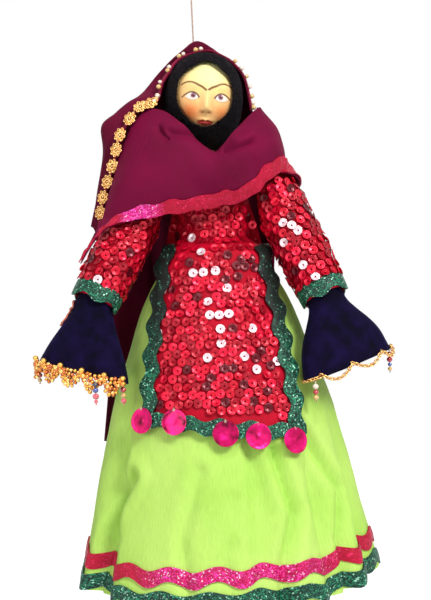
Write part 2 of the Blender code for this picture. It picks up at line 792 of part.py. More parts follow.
def skirt_place(turn, t, outwards, smooth=False):
    """A point on the skirt: the turn from its front, the share of its length, and how far outside its face."""
    z = WAIST_Z - SKIRT_LENGTH * t
    half = skirt_half(z)
    angle = 2 * math.pi * turn
    fold = LINING_INSET * smooth_step((t - 0.15) / 0.45) if smooth else skirt_fold(turn, t)
    reach = outwards - SKIRT_CLOTH / 2 - fold
    z += side_lift(turn, t)
    return Vector((AXIS_X + (half[0] + reach) * math.sin(angle), -(half[1] + reach) * math.cos(angle), z))


def on_skirt(turn, t, outwards):
    """A point on the skirt's flat facets, between the columns of points that make them."""
    at = turn * SKIRT_COLUMNS
    first = math.floor(at)
    near = skirt_place(first / SKIRT_COLUMNS, t, outwards)
    return near.lerp(skirt_place((first + 1) / SKIRT_COLUMNS, t, outwards), at - first)


def row_share(table, v):
    """Spaces rows so that each row of the table has one."""
    last = len(table) - 1
    at = v * last
    i = min(int(at + 1e-6), last - 1)
    return table[i][0] + (table[i + 1][0] - table[i][0]) * (at - i)


def make_skirt():
    table = ((0.0, 0.0),) + SKIRT_SHARES
    rows = len(table) - 1
    cloth(
        "skirt", lambda u, v: skirt_place(u - 0.5, row_share(table, v), 0.0),
        SKIRT_COLUMNS, rows, SKIRT_CLOTH, "green_cloth", wrap=True,
    )

    def lining(u, v):
        t = row_share(table, v)
        if t == 0:
            reached = skirt_place(u - 0.5, 0.0, 0.0)
            reached.z -= LINING_DROP
            return reached
        rise = LINING_RISE / SKIRT_LENGTH if t > 0.99 else 0.0
        return skirt_place(u - 0.5, t - rise, -SKIRT_CLOTH - LAYER_CLEARANCE, smooth=True)

    cloth("skirt_lining", lining, SKIRT_COLUMNS // 2, rows, SKIRT_CLOTH, "lining_cloth", wrap=True)

    def band(name, middle_share, width, wave, phase, material):
        def place(u, v):
            along = math.sin(2 * math.pi * WAVES_ROUND_HEM * u + phase)
            t = middle_share + (width * (v - 0.5) + wave * along) / SKIRT_LENGTH
            point = on_skirt(u - 0.5, min(t, 1.0), SKIRT_CLOTH / 2 + CLOTH / 2 + 2.5 * GAP)
            point.z = WAIST_Z - SKIRT_LENGTH * t + side_lift(u - 0.5, t)
            return point

        return cloth(name, place, 2 * SKIRT_COLUMNS, 1, CLOTH, material, wrap=True)

    band("skirt_ribbon", RIBBON_DROP_SHARE, RIBBON_WIDTH, RIBBON_WAVE, 0.0, "red_glitter")
    hem_share = 1.0 - (HEM_TRIM_WIDTH / 2 + HEM_TRIM_WAVE) / SKIRT_LENGTH
    band("skirt_hem_trim", hem_share, HEM_TRIM_WIDTH, HEM_TRIM_WAVE, math.pi / 3, "green_glitter")


# The tunic: a front and a back panel, their trims and the paillettes.

TUNIC_EDGE_SHARES = (
    (0.0, 0.42), (0.10, 0.46), (0.22, 0.58), (0.36, 0.68), (0.55, 0.80), (0.80, 0.93), (1.0, 1.0),
)


def tunic_top_z():
    return BODY_TOP_Z - TUNIC_TOP_DROP


def tunic_bottom_z(x_share):
    return WAIST_Z - TUNIC_LENGTH - TUNIC_HEM_SLANT * x_share


def tunic_length():
    return tunic_top_z() - tunic_bottom_z(0.0)


def tunic_edge(z, half_width):
    """The half width of a tunic panel at a height."""
    t = (tunic_top_z() - z) / tunic_length()
    return half_width * at_share(TUNIC_EDGE_SHARES, min(1.0, max(0.0, t)))


def tunic_point(x, z, facing, lift):
    """A point on the face of the tunic, by its place across and its height."""
    half = tunic_half(z)
    wide = half[0] + lift
    deep = half[1] + lift
    share = min(0.985, abs(x) / wide)
    return Vector((AXIS_X + x, facing * deep * math.sqrt(1 - share * share), z))


def panel_across(u):
    """Where a column of a panel lies between its middle, 0, and its edges, -1 and 1."""
    crowding = math.pi / 2 * 0.92
    return math.sin((2 * u - 1) * crowding) / math.sin(crowding)


def panel_place(half_width, u, v):
    """A point of a tunic panel as worn flat: its place across and its height."""
    across = panel_across(u)
    z = tunic_top_z() + (tunic_bottom_z(across) - tunic_top_z()) * v
    return Vector((tunic_edge(z, half_width) * across, z))


def tunic_panel(name, facing, half_width, material):
    def place(u, v):
        flat = panel_place(half_width, u, v)
        return tunic_point(flat.x, flat.y, facing, CLOTH / 2)

    return cloth(name, place, PANEL_COLUMNS, PANEL_ROWS, CLOTH, material)


def trim_path(half_width):
    """The centre line of the trim: down one side, along the hem and up the other."""
    inset = Vector((TRIM_WIDTH * 0.28, 0.0))
    side_steps = 2 * PANEL_ROWS
    hem_steps = 2 * PANEL_COLUMNS
    first = round(side_steps * TRIM_START_SHARE)
    heights = [i / side_steps for i in range(first, side_steps)]
    left = [panel_place(half_width, 0.0, v) + inset for v in heights]
    right = [panel_place(half_width, 1.0, v) - inset for v in heights]
    low_left = panel_place(half_width, 0.0, 1.0) + inset
    low_right = panel_place(half_width, 1.0, 1.0) - inset
    hem = [low_left.lerp(low_right, (panel_across(i / hem_steps) + 1) / 2) for i in range(hem_steps + 1)]
    return left + hem + right[::-1]


def trim(name, facing, half_width, panel, material):
    path = trim_path(half_width)
    last = len(path) - 1
    runs = [0.0]
    for a, b in zip(path, path[1:]):
        runs.append(runs[-1] + (b - a).length)

    def place(u, v):
        at = min(int(u * last + 0.5), last)
        before = (path[at] - path[max(at - 1, 0)]).normalized() if at else Vector((0.0, 0.0))
        after = (path[min(at + 1, last)] - path[at]).normalized() if at < last else Vector((0.0, 0.0))
        along = (before + after).normalized()
        side = Vector((-along.y, along.x))
        mitre = 1.0 / max(0.7, abs(along.dot(after if at < last else before)))
        wave = TRIM_WAVE * math.sin(2 * math.pi * runs[at] / TRIM_WAVE_LENGTH)
        reached = path[at] + side * ((v - 0.5) * TRIM_WIDTH * mitre + wave)
        point = tunic_point(reached.x, reached.y, facing, CLOTH / 2)
        return laid_on(panel, point, (CLOTH + TRIM_THICKNESS) / 2 + 2.5 * GAP, Vector((0.0, facing, 0.0)))

    return cloth(name, place, last, 2, TRIM_THICKNESS, material)


# Where each paillette's top is held: shares of the tunic's half width, and how far below the hem's line.
PAILLETTE_SHARES = ((-1.02, -0.45), (-0.60, -0.62), (0.04, -0.12), (0.45, -0.08), (0.92, 0.12))


def paillette_point(x_share, drop_share, further=0.0):
    z = tunic_bottom_z(x_share) - PAILLETTE_DIAMETER * (drop_share - 0.37) * 0.55 - further
    lift = CLOTH + TRIM_THICKNESS + PAILLETTE_THICKNESS / 2 + 4 * GAP
    return tunic_point(TUNIC_HALF_WIDTH * x_share, z, -1, lift)


def paillette_frame(x_share, drop_share):
    """Where a paillette hangs, and how it lies against the cloth behind it."""
    top = paillette_point(x_share, drop_share)
    down = (paillette_point(x_share, drop_share, PAILLETTE_DIAMETER) - top).normalized()
    half = tunic_half(top.z)
    face = Vector(((top.x - AXIS_X) / half[0] ** 2, top.y / half[1] ** 2, 0.0)).normalized()
    across = down.cross(face).normalized()
    face = across.cross(down)
    turn = Matrix((across, -face, -down)).transposed().to_4x4()
    return Matrix.Translation(top) @ turn


def make_paillettes():
    for index, (x_share, drop_share) in enumerate(PAILLETTE_SHARES):
        bm = bmesh.new()
        bmesh.ops.create_cone(
            bm, cap_ends=True, segments=20, radius1=PAILLETTE_DIAMETER / 2, radius2=PAILLETTE_DIAMETER / 2,
            depth=PAILLETTE_THICKNESS,
            matrix=Matrix.Translation((0.0, 0.0, PAILLETTE_EYE_INSET - PAILLETTE_DIAMETER / 2))
            @ Matrix.Rotation(math.pi / 2, 4, "X"),
        )
        disc = piece(f"paillette_{index + 1}", bm, "magenta_foil")
        disc.matrix_world = paillette_frame(x_share, drop_share)


def make_tunic():
    front = surface_of(tunic_panel("tunic_front", -1, TUNIC_HALF_WIDTH, "sequins"))
    back = surface_of(tunic_panel("tunic_back", 1, TUNIC_BACK_HALF_WIDTH, "sequins"))
    trim("tunic_front_trim", -1, TUNIC_HALF_WIDTH, front, "green_glitter")
    trim("tunic_back_trim", 1, TUNIC_BACK_HALF_WIDTH, back, "green_glitter")
    make_paillettes()


# The arms, made hanging straight down from the shoulder's pivot and then turned to their place.


def made_on(thing, place):
    thing.matrix_world = place
    return thing


def sleeve_radius(t):
    """The sleeve's radius along the arm: narrow at the shoulder, full at the elbow, wide at the cuff."""
    full = SLEEVE_ROOT_RADIUS + (SLEEVE_RADIUS - SLEEVE_ROOT_RADIUS) * smooth_step(t * 3.2)
    return full + (SLEEVE_CUFF_RADIUS - SLEEVE_RADIUS) * smooth_step((t - 0.72) / 0.28)


# The arm ends in a ball round the wrist, on which the bell's collar swings: how far down it its rings lie.
WRIST_RING_DEGREES = (35.0, 60.0, 78.0)


def make_arm(side, word):
    place = Matrix.Translation(shoulder(side)) @ arm_turn(side)
    out = Matrix.Rotation(-side * math.radians(arm_out_deg(side)), 3, "Y")
    path, radii = root_of_arm(side, SHOULDER_HALF_WIDTH - BODY_HALF_WIDTH - GAP, ARM_RADIUS)
    for t in (0.14, 0.35, 0.60, 0.80, 1.0):
        path.append(out @ Vector((0.0, 0.0, -ARM_LENGTH * t)))
        radii.append(ARM_RADIUS + (WRIST_RADIUS - ARM_RADIUS) * smooth_step(t))
    for degrees in WRIST_RING_DEGREES:
        down = math.radians(degrees)
        path.append(out @ Vector((0.0, 0.0, -ARM_LENGTH - WRIST_RADIUS * math.sin(down))))
        radii.append(WRIST_RADIUS * math.cos(down))
    arm = limb(f"{word}_arm", path, radii, 12, "calico")
    lean = Matrix.Rotation(-math.radians(ARM_FORWARD_DEG), 4, "X")
    made_on(arm, Matrix.Translation(shoulder(side)) @ lean)

    def sleeve(u, v):
        angle = 2 * math.pi * u
        radius = sleeve_radius(v)
        flat = 1 - (1 - CUFF_FLATNESS_SHARE) * smooth_step((v - 0.5) * 2)
        top = SLEEVE_TOP_SLANT * side * math.cos(angle) - SLEEVE_TOP_DROP
        height = top - (ARM_LENGTH + top) * v
        return Vector((radius * math.cos(angle), radius * flat * math.sin(angle), height))

    made_on(cloth(f"{word}_sleeve", sleeve, 16, 7, CLOTH, "sequins", wrap=True), place)

    def trim_ring(u, v):
        angle = 2 * math.pi * u
        t = 1 - CUFF_TRIM_WIDTH / ARM_LENGTH * (1 - v)
        radius = sleeve_radius(t) + CLOTH + 1.5 * GAP
        flat = CUFF_FLATNESS_SHARE
        wave = CUFF_TRIM_WAVE * math.sin(5 * angle) * v
        height = -ARM_LENGTH * t - CUFF_TRIM_WAVE + wave
        return Vector((radius * math.cos(angle), (radius * flat + GAP) * math.sin(angle), height))

    made_on(cloth(f"{word}_cuff_trim", trim_ring, 32, 1, CLOTH, "green_glitter", wrap=True), place)


def bell_frame(side):
    out = LEFT_BELL_OUT_DEG if side < 0 else RIGHT_BELL_OUT_DEG
    outwards = Matrix.Rotation(-side * math.radians(out), 4, "Y")
    turn = Matrix.Rotation(side * math.radians(BELL_TURN_DEG), 4, "Z")
    return Matrix.Translation(wrist(side)) @ outwards @ turn


def bell_half(t):
    if t == 0:
        collar = math.sqrt((WRIST_RADIUS + GAP + VELVET / 2) ** 2 - BELL_NECK_DROP ** 2)
        return collar, collar
    share = at_share(BELL_SHARES, t)
    wide = BELL_NECK_RADIUS + (BELL_HALF_WIDTH - BELL_NECK_RADIUS) * share
    deep = BELL_NECK_RADIUS + (BELL_HALF_DEPTH - BELL_NECK_RADIUS) * share
    return wide, deep


def bell_point(side, turn, t, outwards):
    """A point on a bell, which is flat with soft corners: the turn from its front, and the share down it."""
    wide, deep = bell_half(t)
    angle = 2 * math.pi * turn
    s = math.sin(angle)
    c = math.cos(angle)
    corner = 1 + 0.10 * (1 - abs(c)) * abs(c) * t
    x = (wide + outwards) * s * corner
    y = -(deep + outwards) * c * corner
    slant = BELL_SLANT * side * x / BELL_HALF_WIDTH * t
    return Vector((x, y, -BELL_NECK_DROP - BELL_LENGTH * t + slant))


def make_bell(side, word):
    place = bell_frame(side)
    made_on(
        cloth(
            f"{word}_velvet_bell", lambda u, v: bell_point(side, u, row_share(BELL_SHARES, v), 0.0),
            20, len(BELL_SHARES) - 1, VELVET, "navy_velvet", wrap=True,
        ),
        place,
    )

    def hand(co):
        drop = WRIST_RADIUS + GAP + HAND_LENGTH / 2
        swell = 1 - 0.25 * co.z
        height = co.z * HAND_LENGTH / 2 - drop
        return Vector((co.x * HAND_HALF_WIDTH * swell, co.y * HAND_HALF_DEPTH * swell, height))

    made_on(ball(f"{word}_hand", hand, 10, 6, "calico"), place)


def make_wrist_strip():
    """The end of a coral ribbon, tied at the wrist, that lies down the outer side of one bell."""

    def place(u, v):
        t = 0.02 + WRIST_STRIP_LENGTH / BELL_LENGTH * v
        turn = -0.25 + (u - 0.5) * 0.14 * (1 - 0.5 * v)
        return bell_point(-1, turn, t, VELVET / 2 + CLOTH / 2 + 2 * GAP)

    made_on(cloth("left_wrist_ribbon", place, 4, 4, CLOTH, "coral_ribbon"), bell_frame(-1))


def swag_point(side, u, swags, first, last, radius_out):
    """The centre line of the chain, which hangs between its stitches along the mouth's front."""
    turn = first + (last - first) * u
    rim = bell_point(side, turn, 1.0, radius_out)
    sag = math.sin(math.pi * ((u * swags) % 1.0)) if 0 < u < 1 else 0.0
    rim.z += CHAIN_DIAMETER * 0.8 - SWAG_DROP * sag
    return rim


def make_chain(side, word, swags, first, last):
    place = bell_frame(side)
    radius = CHAIN_DIAMETER / 2
    out = VELVET / 2 + radius + GAP
    steps = swags * 8

    def tube(u, v):
        i = round(v * steps) / steps
        here = swag_point(side, i, swags, first, last, out)
        ahead = swag_point(side, min(1.0, i + 0.2 / steps), swags, first, last, out)
        back = swag_point(side, max(0.0, i - 0.2 / steps), swags, first, last, out)
        along = (ahead - back).normalized()
        side_way = along.cross(Vector((0.0, 0.0, 1.0))).normalized()
        up = side_way.cross(along)
        angle = 2 * math.pi * u
        return here + (side_way * math.cos(angle) + up * math.sin(angle)) * radius

    made_on(capped_tube(f"{word}_chain_swags", tube, 5, steps, "gold_chain"), place)


# The bead drops: the turn round the bell's mouth where each hangs.
RIGHT_DROP_TURNS = (0.240, -0.170)
LEFT_DROP_TURNS = (-0.220, 0.075, 0.205)
RIGHT_CHAIN_TURNS = (-0.13, 0.215)
LEFT_CHAIN_TURNS = (-0.19, 0.175)


def drop_top(side, turn):
    """Just under the bell's rim, or outside the chain where one hangs there."""
    first, last = LEFT_CHAIN_TURNS if side < 0 else RIGHT_CHAIN_TURNS
    chained = first < turn < last
    out = VELVET / 2 + CHAIN_DIAMETER + BEAD_DIAMETER / 2 + 2 * GAP if chained else 0.0
    return bell_frame(side) @ bell_point(side, turn, 1.0, out) - Vector((0.0, 0.0, 2 * GAP))


def make_drop(name, top):
    """A short string of beads, as one turned piece."""
    beads = 3
    steps = 4 * beads + 2

    def place(u, v):
        angle = 2 * math.pi * u
        z = -DROP_LENGTH * v
        phase = (v * beads) % 1.0 if 0 < v < 1 else 0.0
        swell = math.sin(math.pi * phase)
        radius = DROP_THREAD_DIAMETER / 2 + (BEAD_DIAMETER - DROP_THREAD_DIAMETER) / 2 * swell
        return Vector((radius * math.cos(angle), radius * math.sin(angle), z))

    drop = capped_tube(name, place, 5, steps, "glass_beads")
    drop.location = top


def make_arms():
    for side, word in ((1, "right"), (-1, "left")):
        make_arm(side, word)
        make_bell(side, word)
    make_wrist_strip()
    make_chain(1, "right", 3, *RIGHT_CHAIN_TURNS)
    make_chain(-1, "left", 5, *LEFT_CHAIN_TURNS)
    for index, turn in enumerate(RIGHT_DROP_TURNS):
        make_drop(f"right_bead_drop_{index + 1}", drop_top(1, turn))
    for index, turn in enumerate(LEFT_DROP_TURNS):
        make_drop(f"left_bead_drop_{index + 1}", drop_top(-1, turn))


# The veil: columns of points from its front edge, over its ridge and down the back to its hem, going round
# from the doll's right hand side. Each point is (across, depth, height), in shares of its spread, depth and drop.
VEIL_SHARES = (
    (
        (-1.068, 0.133, 0.543), (-1.162, 0.267, 0.557), (-1.135, 0.6, 0.543), (-1.081, 0.933, 0.464),
        (-1.054, 1.133, 0.286), (-1.081, 1.267, 0.143), (-1.149, 1.4, 0.0),
    ),
    (
        (-0.993, -0.233, 0.621), (-1.074, -0.033, 0.632), (-1.081, 0.267, 0.636), (-1.0, 0.8, 0.607),
        (-0.919, 1.133, 0.429), (-0.946, 1.467, 0.214), (-1.027, 1.8, -0.011),
    ),
    (
        (-0.884, -0.533, 0.696), (-0.992, -0.4, 0.707), (-0.993, -0.067, 0.729), (-0.905, 0.667, 0.686),
        (-0.811, 1.2, 0.5), (-0.811, 1.733, 0.25), (-0.892, 2.133, -0.018),
    ),
    (
        (-0.792, -0.667, 0.77), (-0.892, -0.533, 0.784), (-0.997, -0.3, 0.798), (-0.892, 0.467, 0.771),
        (-0.703, 1.167, 0.625), (-0.649, 1.867, 0.286), (-0.703, 2.4, -0.018),
    ),
    (
        (-0.709, -0.65, 0.803), (-0.791, -0.517, 0.825), (-0.865, -0.267, 0.827), (-0.784, 0.533, 0.8),
        (-0.635, 1.133, 0.664), (-0.581, 1.933, 0.304), (-0.622, 2.5, -0.018),
    ),
    (
        (-0.628, -0.633, 0.829), (-0.68, -0.483, 0.855), (-0.736, -0.267, 0.852), (-0.676, 0.6, 0.825),
        (-0.568, 1.133, 0.696), (-0.514, 2.0, 0.321), (-0.541, 2.567, -0.018),
    ),
    (
        (-0.459, -0.567, 0.848), (-0.527, -0.4, 0.87), (-0.635, -0.133, 0.871), (-0.568, 0.633, 0.85),
        (-0.486, 1.133, 0.718), (-0.446, 2.033, 0.329), (-0.459, 2.633, -0.018),
    ),
    (
        (-0.395, -0.533, 0.898), (-0.443, -0.283, 0.907), (-0.547, -0.067, 0.895), (-0.473, 0.667, 0.875),
        (-0.392, 1.133, 0.739), (-0.365, 2.067, 0.339), (-0.351, 2.667, -0.018),
    ),
    (
        (-0.304, -0.533, 0.929), (-0.351, -0.283, 0.943), (-0.399, -0.033, 0.932), (-0.338, 0.767, 0.907),
        (-0.27, 1.167, 0.761), (-0.243, 2.067, 0.357), (-0.216, 2.733, -0.018),
    ),
    (
        (-0.095, -0.467, 0.968), (-0.108, -0.217, 0.981), (-0.101, 0.0, 1.0), (-0.108, 0.8, 0.932),
        (-0.108, 1.2, 0.779), (-0.095, 2.067, 0.357), (-0.068, 2.8, -0.018),
    ),
    (
        (0.095, -0.467, 0.968), (0.081, -0.183, 0.977), (0.068, 0.133, 0.982), (0.068, 0.867, 0.921),
        (0.068, 1.2, 0.771), (0.108, 2.067, 0.357), (0.135, 2.767, -0.018),
    ),
    (
        (0.243, -0.433, 0.943), (0.243, -0.15, 0.952), (0.23, 0.267, 0.95), (0.216, 0.9, 0.889),
        (0.23, 1.2, 0.743), (0.284, 2.0, 0.357), (0.351, 2.667, -0.014),
    ),
    (
        (0.345, -0.4, 0.911), (0.351, -0.117, 0.918), (0.345, 0.333, 0.914), (0.324, 0.9, 0.85),
        (0.351, 1.167, 0.707), (0.432, 1.867, 0.339), (0.541, 2.5, -0.007),
    ),
    (
        (0.385, -0.367, 0.868), (0.399, -0.083, 0.873), (0.405, 0.333, 0.868), (0.392, 0.833, 0.8),
        (0.446, 1.133, 0.643), (0.568, 1.667, 0.304), (0.716, 2.133, 0.007),
    ),
    (
        (0.405, -0.267, 0.821), (0.426, 0.017, 0.825), (0.432, 0.333, 0.814), (0.459, 0.8, 0.75),
        (0.527, 1.1, 0.554), (0.649, 1.467, 0.268), (0.811, 1.8, 0.025),
    ),
)


def veil_peak():
    return Vector((0.0, 0.0, -CROWN_DROP + VEIL_PEAK_RISE))


def veil_net():
    """The columns of points, of which the highest one is the peak round the string."""
    peak = veil_peak()
    hem_z = peak.z - VEIL_DROP

    def spread(across, deep, high):
        return on_doll(VEIL_SPREAD * across, VEIL_DEPTH * deep, hem_z + VEIL_DROP * high)

    columns = [[spread(*shares) for shares in column] for column in VEIL_SHARES]
    for column in columns:
        for index, point in enumerate(column):
            if point.z >= peak.z:
                column[index] = peak
    return columns


def from_axis(point):
    """The direction from the doll's axis to a point, and upwards a little."""
    return Vector((point.x - AXIS_X, point.y, BODY_HALF_DEPTH))


def veil_pleat(u, at):
    """How far the part of the veil that hangs behind is pleated outwards."""
    hanging = smooth_step((at - PLEAT_START_SHARE) / (1 - PLEAT_START_SHARE))
    return VEIL_PLEAT_HEIGHT * hanging * (1 + math.sin(2 * math.pi * VEIL_PLEATS * u)) / 2


def make_veil():
    net = veil_net()
    last = len(VEIL_SHARES[0]) - 1

    def place(u, v):
        at = row_share(VEIL_ROW_SHARES, v)
        if round(at * last, 3) <= 1:
            point = through([column[0].lerp(column[1], at * last) for column in net], u)
        else:
            point = through([through(column[1:], (at * last - 1) / (last - 1)) for column in net], u)
        if (point - veil_peak()).length <= CROWN_KNOT_HEIGHT:
            return point
        point = drape(point, DRAPE_CLEARANCE)
        return point + from_axis(point).normalized() * veil_pleat(u, at)

    counts = (2 * (len(net) - 1), len(VEIL_ROW_SHARES) - 1)
    veil = cloth("veil", place, *counts, CLOTH, "wine_cloth")
    hole = STRING_DIAMETER / 2 + GAP
    cut(veil, cutter("string_hole", hole, veil_peak().z + KNOT_HEIGHT, veil_peak().z - KNOT_HEIGHT, 0.0))
    raised_strip(
        "gold_braid", place, counts, BRAID_COLUMNS, 0, CLOTH / 2 + GAP, from_axis, BRAID_THICKNESS,
        "gold_chain",
    )
    return surface_of(veil)


# The shawl: columns of points from its upper edge to its lower one, from its outer edge on the doll's right arm
# over the chest and the other shoulder to the back, in shares of its half width, depth and drop.
SHAWL_SHARES = (
    (
        (-0.713, -0.425, -0.086), (-0.90, -0.46, 0.015), (-1.03, -0.46, 0.165), (-1.13, -0.50, 0.31),
        (-1.27, -0.65, 0.55), (-1.41, -0.78, 0.93),
    ),
    (
        (-0.50, -0.60, -0.05), (-0.72, -0.76, 0.09), (-0.90, -0.82, 0.27), (-1.06, -0.84, 0.46),
        (-1.24, -0.80, 0.70),
    ),
    (
        (-0.29, -0.74, 0.045), (-0.42, -0.92, 0.17), (-0.52, -1.00, 0.31), (-0.62, -0.98, 0.45),
        (-0.72, -0.90, 0.60),
    ),
    (
        (0.05, -0.80, 0.21), (0.05, -1.00, 0.29), (0.02, -1.06, 0.38), (-0.04, -1.00, 0.47),
        (-0.10, -0.86, 0.565),
    ),
    (
        (0.32, -0.76, 0.09), (0.38, -0.96, 0.20), (0.41, -1.00, 0.30), (0.43, -0.94, 0.40),
        (0.45, -0.80, 0.50),
    ),
    (
        (0.60, -0.54, -0.05), (0.71, -0.66, 0.06), (0.77, -0.70, 0.16), (0.80, -0.66, 0.25),
        (0.81, -0.58, 0.35),
    ),
    (
        (0.64, -0.04, -0.02), (0.82, -0.04, 0.08), (0.89, -0.02, 0.18), (0.92, 0.00, 0.27),
        (0.97, 0.00, 0.37), (0.93, 0.00, 0.46),
    ),
    ((0.52, 0.68, 0.14), (0.66, 0.76, 0.20), (0.78, 0.82, 0.28), (0.86, 0.86, 0.38), (0.90, 0.88, 0.49)),
    ((0.30, 1.00, 0.24), (0.44, 1.06, 0.30), (0.56, 1.08, 0.38), (0.68, 1.08, 0.48), (0.80, 1.06, 0.58)),
    ((0.24, 1.20, 0.62), (0.38, 1.26, 0.66), (0.52, 1.30, 0.70), (0.66, 1.30, 0.76), (0.78, 1.26, 0.82)),
    ((0.20, 1.46, 1.02), (0.34, 1.52, 1.06), (0.48, 1.56, 1.10), (0.62, 1.54, 1.12), (0.74, 1.50, 1.14)),
)


def chin_z():
    return FACE_Z - FACE_HALF_HEIGHT


def shawl_net():
    top_z = chin_z() + SHAWL_DROP * SHAWL_RISE_SHARE

    def spread(across, deep, drop):
        return on_doll(SHAWL_HALF_WIDTH * across, SHAWL_DEPTH * deep, top_z - SHAWL_DROP * drop)

    return [[spread(*shares) for shares in column] for column in SHAWL_SHARES]


def make_shawl(veil):
    net = shawl_net()
    inner = DRAPE_CLEARANCE + LAYER_CLEARANCE

    def place(u, v):
        point = on_net(net, u, v)
        behind = smooth_step((u - 0.5) / 0.1)
        for _ in range(3):
            point = drape(point, inner)
            if behind:
                point = clear_of(veil, point, (CLOTH + inner) * behind, from_axis(point), SHAWL_DEPTH)
        return point

    cloth("shawl_wrap", place, SHAWL_COLUMNS, SHAWL_ROWS, CLOTH, "wine_cloth")
    raised_strip(
        "shawl_ribbon", place, (SHAWL_COLUMNS, SHAWL_ROWS), (0, RIBBON_COLUMNS), SHAWL_ROWS - 1,
        CLOTH / 2 + GAP, from_axis, TRIM_THICKNESS, "red_glitter",
    )


def main():
    clear_scene()
    make_string()
    make_head()
    make_bodies()
    make_lower_figure()
    make_skirt()
    make_tunic()
    make_arms()
    make_shawl(make_veil())


main()
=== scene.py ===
# %% [markdown]
# # A topsy turvy doll on its string
# The real doll is sewn from cloth: a stuffed body at each end of one skirt, a painted mask for a face, and layers
# of shop bought trims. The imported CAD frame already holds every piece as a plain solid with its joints. This lesson
# dresses that frame, piece by piece, so each part starts from where its node is and rides on the same body.

# %% The frame
import json
from math import asin, atan2, cos, degrees, exp, hypot, pi, radians, sin, sqrt

import bmesh
import bpy
import numpy as np
from mathutils import Matrix, Vector, noise
from mathutils.bvhtree import BVHTree


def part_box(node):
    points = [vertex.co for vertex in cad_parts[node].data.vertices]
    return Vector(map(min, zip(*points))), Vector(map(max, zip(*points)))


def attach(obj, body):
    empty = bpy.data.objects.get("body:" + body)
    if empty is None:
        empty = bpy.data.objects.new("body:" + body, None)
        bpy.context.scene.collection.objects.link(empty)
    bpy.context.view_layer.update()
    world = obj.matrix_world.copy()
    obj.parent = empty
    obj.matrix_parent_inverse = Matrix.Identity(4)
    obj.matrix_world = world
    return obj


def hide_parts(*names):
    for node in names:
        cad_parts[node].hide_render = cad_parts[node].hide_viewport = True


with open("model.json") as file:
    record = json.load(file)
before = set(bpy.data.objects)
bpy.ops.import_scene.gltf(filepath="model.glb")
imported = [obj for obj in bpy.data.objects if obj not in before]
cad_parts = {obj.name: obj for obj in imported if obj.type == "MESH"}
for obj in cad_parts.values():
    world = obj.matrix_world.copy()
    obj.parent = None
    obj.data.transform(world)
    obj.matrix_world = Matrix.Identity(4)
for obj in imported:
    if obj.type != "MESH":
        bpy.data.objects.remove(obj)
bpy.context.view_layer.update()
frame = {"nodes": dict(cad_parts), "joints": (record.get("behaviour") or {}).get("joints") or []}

pivots = {joint["name"]: Vector(joint["pos_m"]) for joint in frame["joints"]}
print("nodes:", len(frame["nodes"]), "joints:", len(pivots))

# %% [markdown]
# ## The camera
# The photograph is nearly square on, from a little under a metre, and tilted by less than three degrees. A real
# camera with a moderate lens gives the same slight spread of the nearer things. It is set up first, because the
# places of small things, such as one sequin, are read off the photograph through it.

# %% The camera
VIEW_DISTANCE = 0.87
VIEW_CENTRE = Vector((0.007, 0.0, -0.245))
LENS_MM = 74.6
SENSOR_MM = 36.0
TILT_DEG = -2.7
PHOTO_SIZE = (431, 600)

camera_data = bpy.data.cameras.new("camera")
camera_data.lens = LENS_MM
camera_data.sensor_width = SENSOR_MM
camera = bpy.data.objects.new("camera", camera_data)
bpy.context.scene.collection.objects.link(camera)
bpy.context.scene.camera = camera
eye = VIEW_CENTRE - Vector((0.0, VIEW_DISTANCE, 0.0))
looking = Vector((0.0, 1.0, 0.0)).to_track_quat("-Z", "Y").to_matrix().to_4x4()
camera.matrix_world = Matrix.Translation(eye) @ looking @ Matrix.Rotation(radians(TILT_DEG), 4, "Z")
bpy.context.view_layer.update()


def seen_at(across, down, y):
    """The point at depth y that stands at this place of the photograph, in its pixels."""
    focal = LENS_MM / SENSOR_MM * PHOTO_SIZE[1]
    ray = Vector((across - PHOTO_SIZE[0] / 2, PHOTO_SIZE[1] / 2 - down, -focal))
    ray = camera.matrix_world.to_3x3() @ ray
    return eye + ray * ((y - eye.y) / ray.y)


print(
    "one pixel is", round((seen_at(1, 300, 0) - seen_at(0, 300, 0)).length * 1000, 3),
    "mm at the doll's middle"
)

# %% [markdown]
# ## Helpers for cloth
# Almost everything here is cloth, and a cloth is easiest to make as a flat grid whose points a rule then puts in
# place, just as a tailor thinks of a flat pattern and where it ends up. The grid keeps a UV map called flat, in
# metres of the uncut cloth, so that a weave drawn on it has the right size wherever the cloth goes.

# %% Helpers for making pieces
MERGE = 1e-6


def smooth_step(t):
    """Goes softly from 0, where t is 0 or less, to 1, where t is 1 or more."""
    t = min(1.0, max(0.0, t))
    return t * t * (3 - 2 * t)


def bell_curve(distance, width):
    """1 at no distance, and falls off on both sides within about this width."""
    return exp(-((distance / width) ** 2))


def spline(table, t):
    """A value on the smooth curve through a table of (place, value) rows, which never overshoots by much."""
    places = [row[0] for row in table]
    values = [row[1] for row in table]
    last = len(table) - 1
    i = 0
    while i < last - 1 and t > places[i + 1]:
        i += 1
    step = places[i + 1] - places[i]
    f = min(1.0, max(0.0, (t - places[i]) / step))
    rise = (values[i + 1] - values[i]) / step
    before = (values[i] - values[i - 1]) / (places[i] - places[i - 1]) if i else rise
    after = (values[i + 2] - values[i + 1]) / (places[i + 2] - places[i + 1]) if i < last - 1 else rise
    m0 = (before + rise) / 2 * step
    m1 = (after + rise) / 2 * step
    f2 = f * f
    f3 = f2 * f
    return (
        (2 * f3 - 3 * f2 + 1) * values[i] + (f3 - 2 * f2 + f) * m0
        + (3 * f2 - 2 * f3) * values[i + 1] + (f3 - f2) * m1
    )


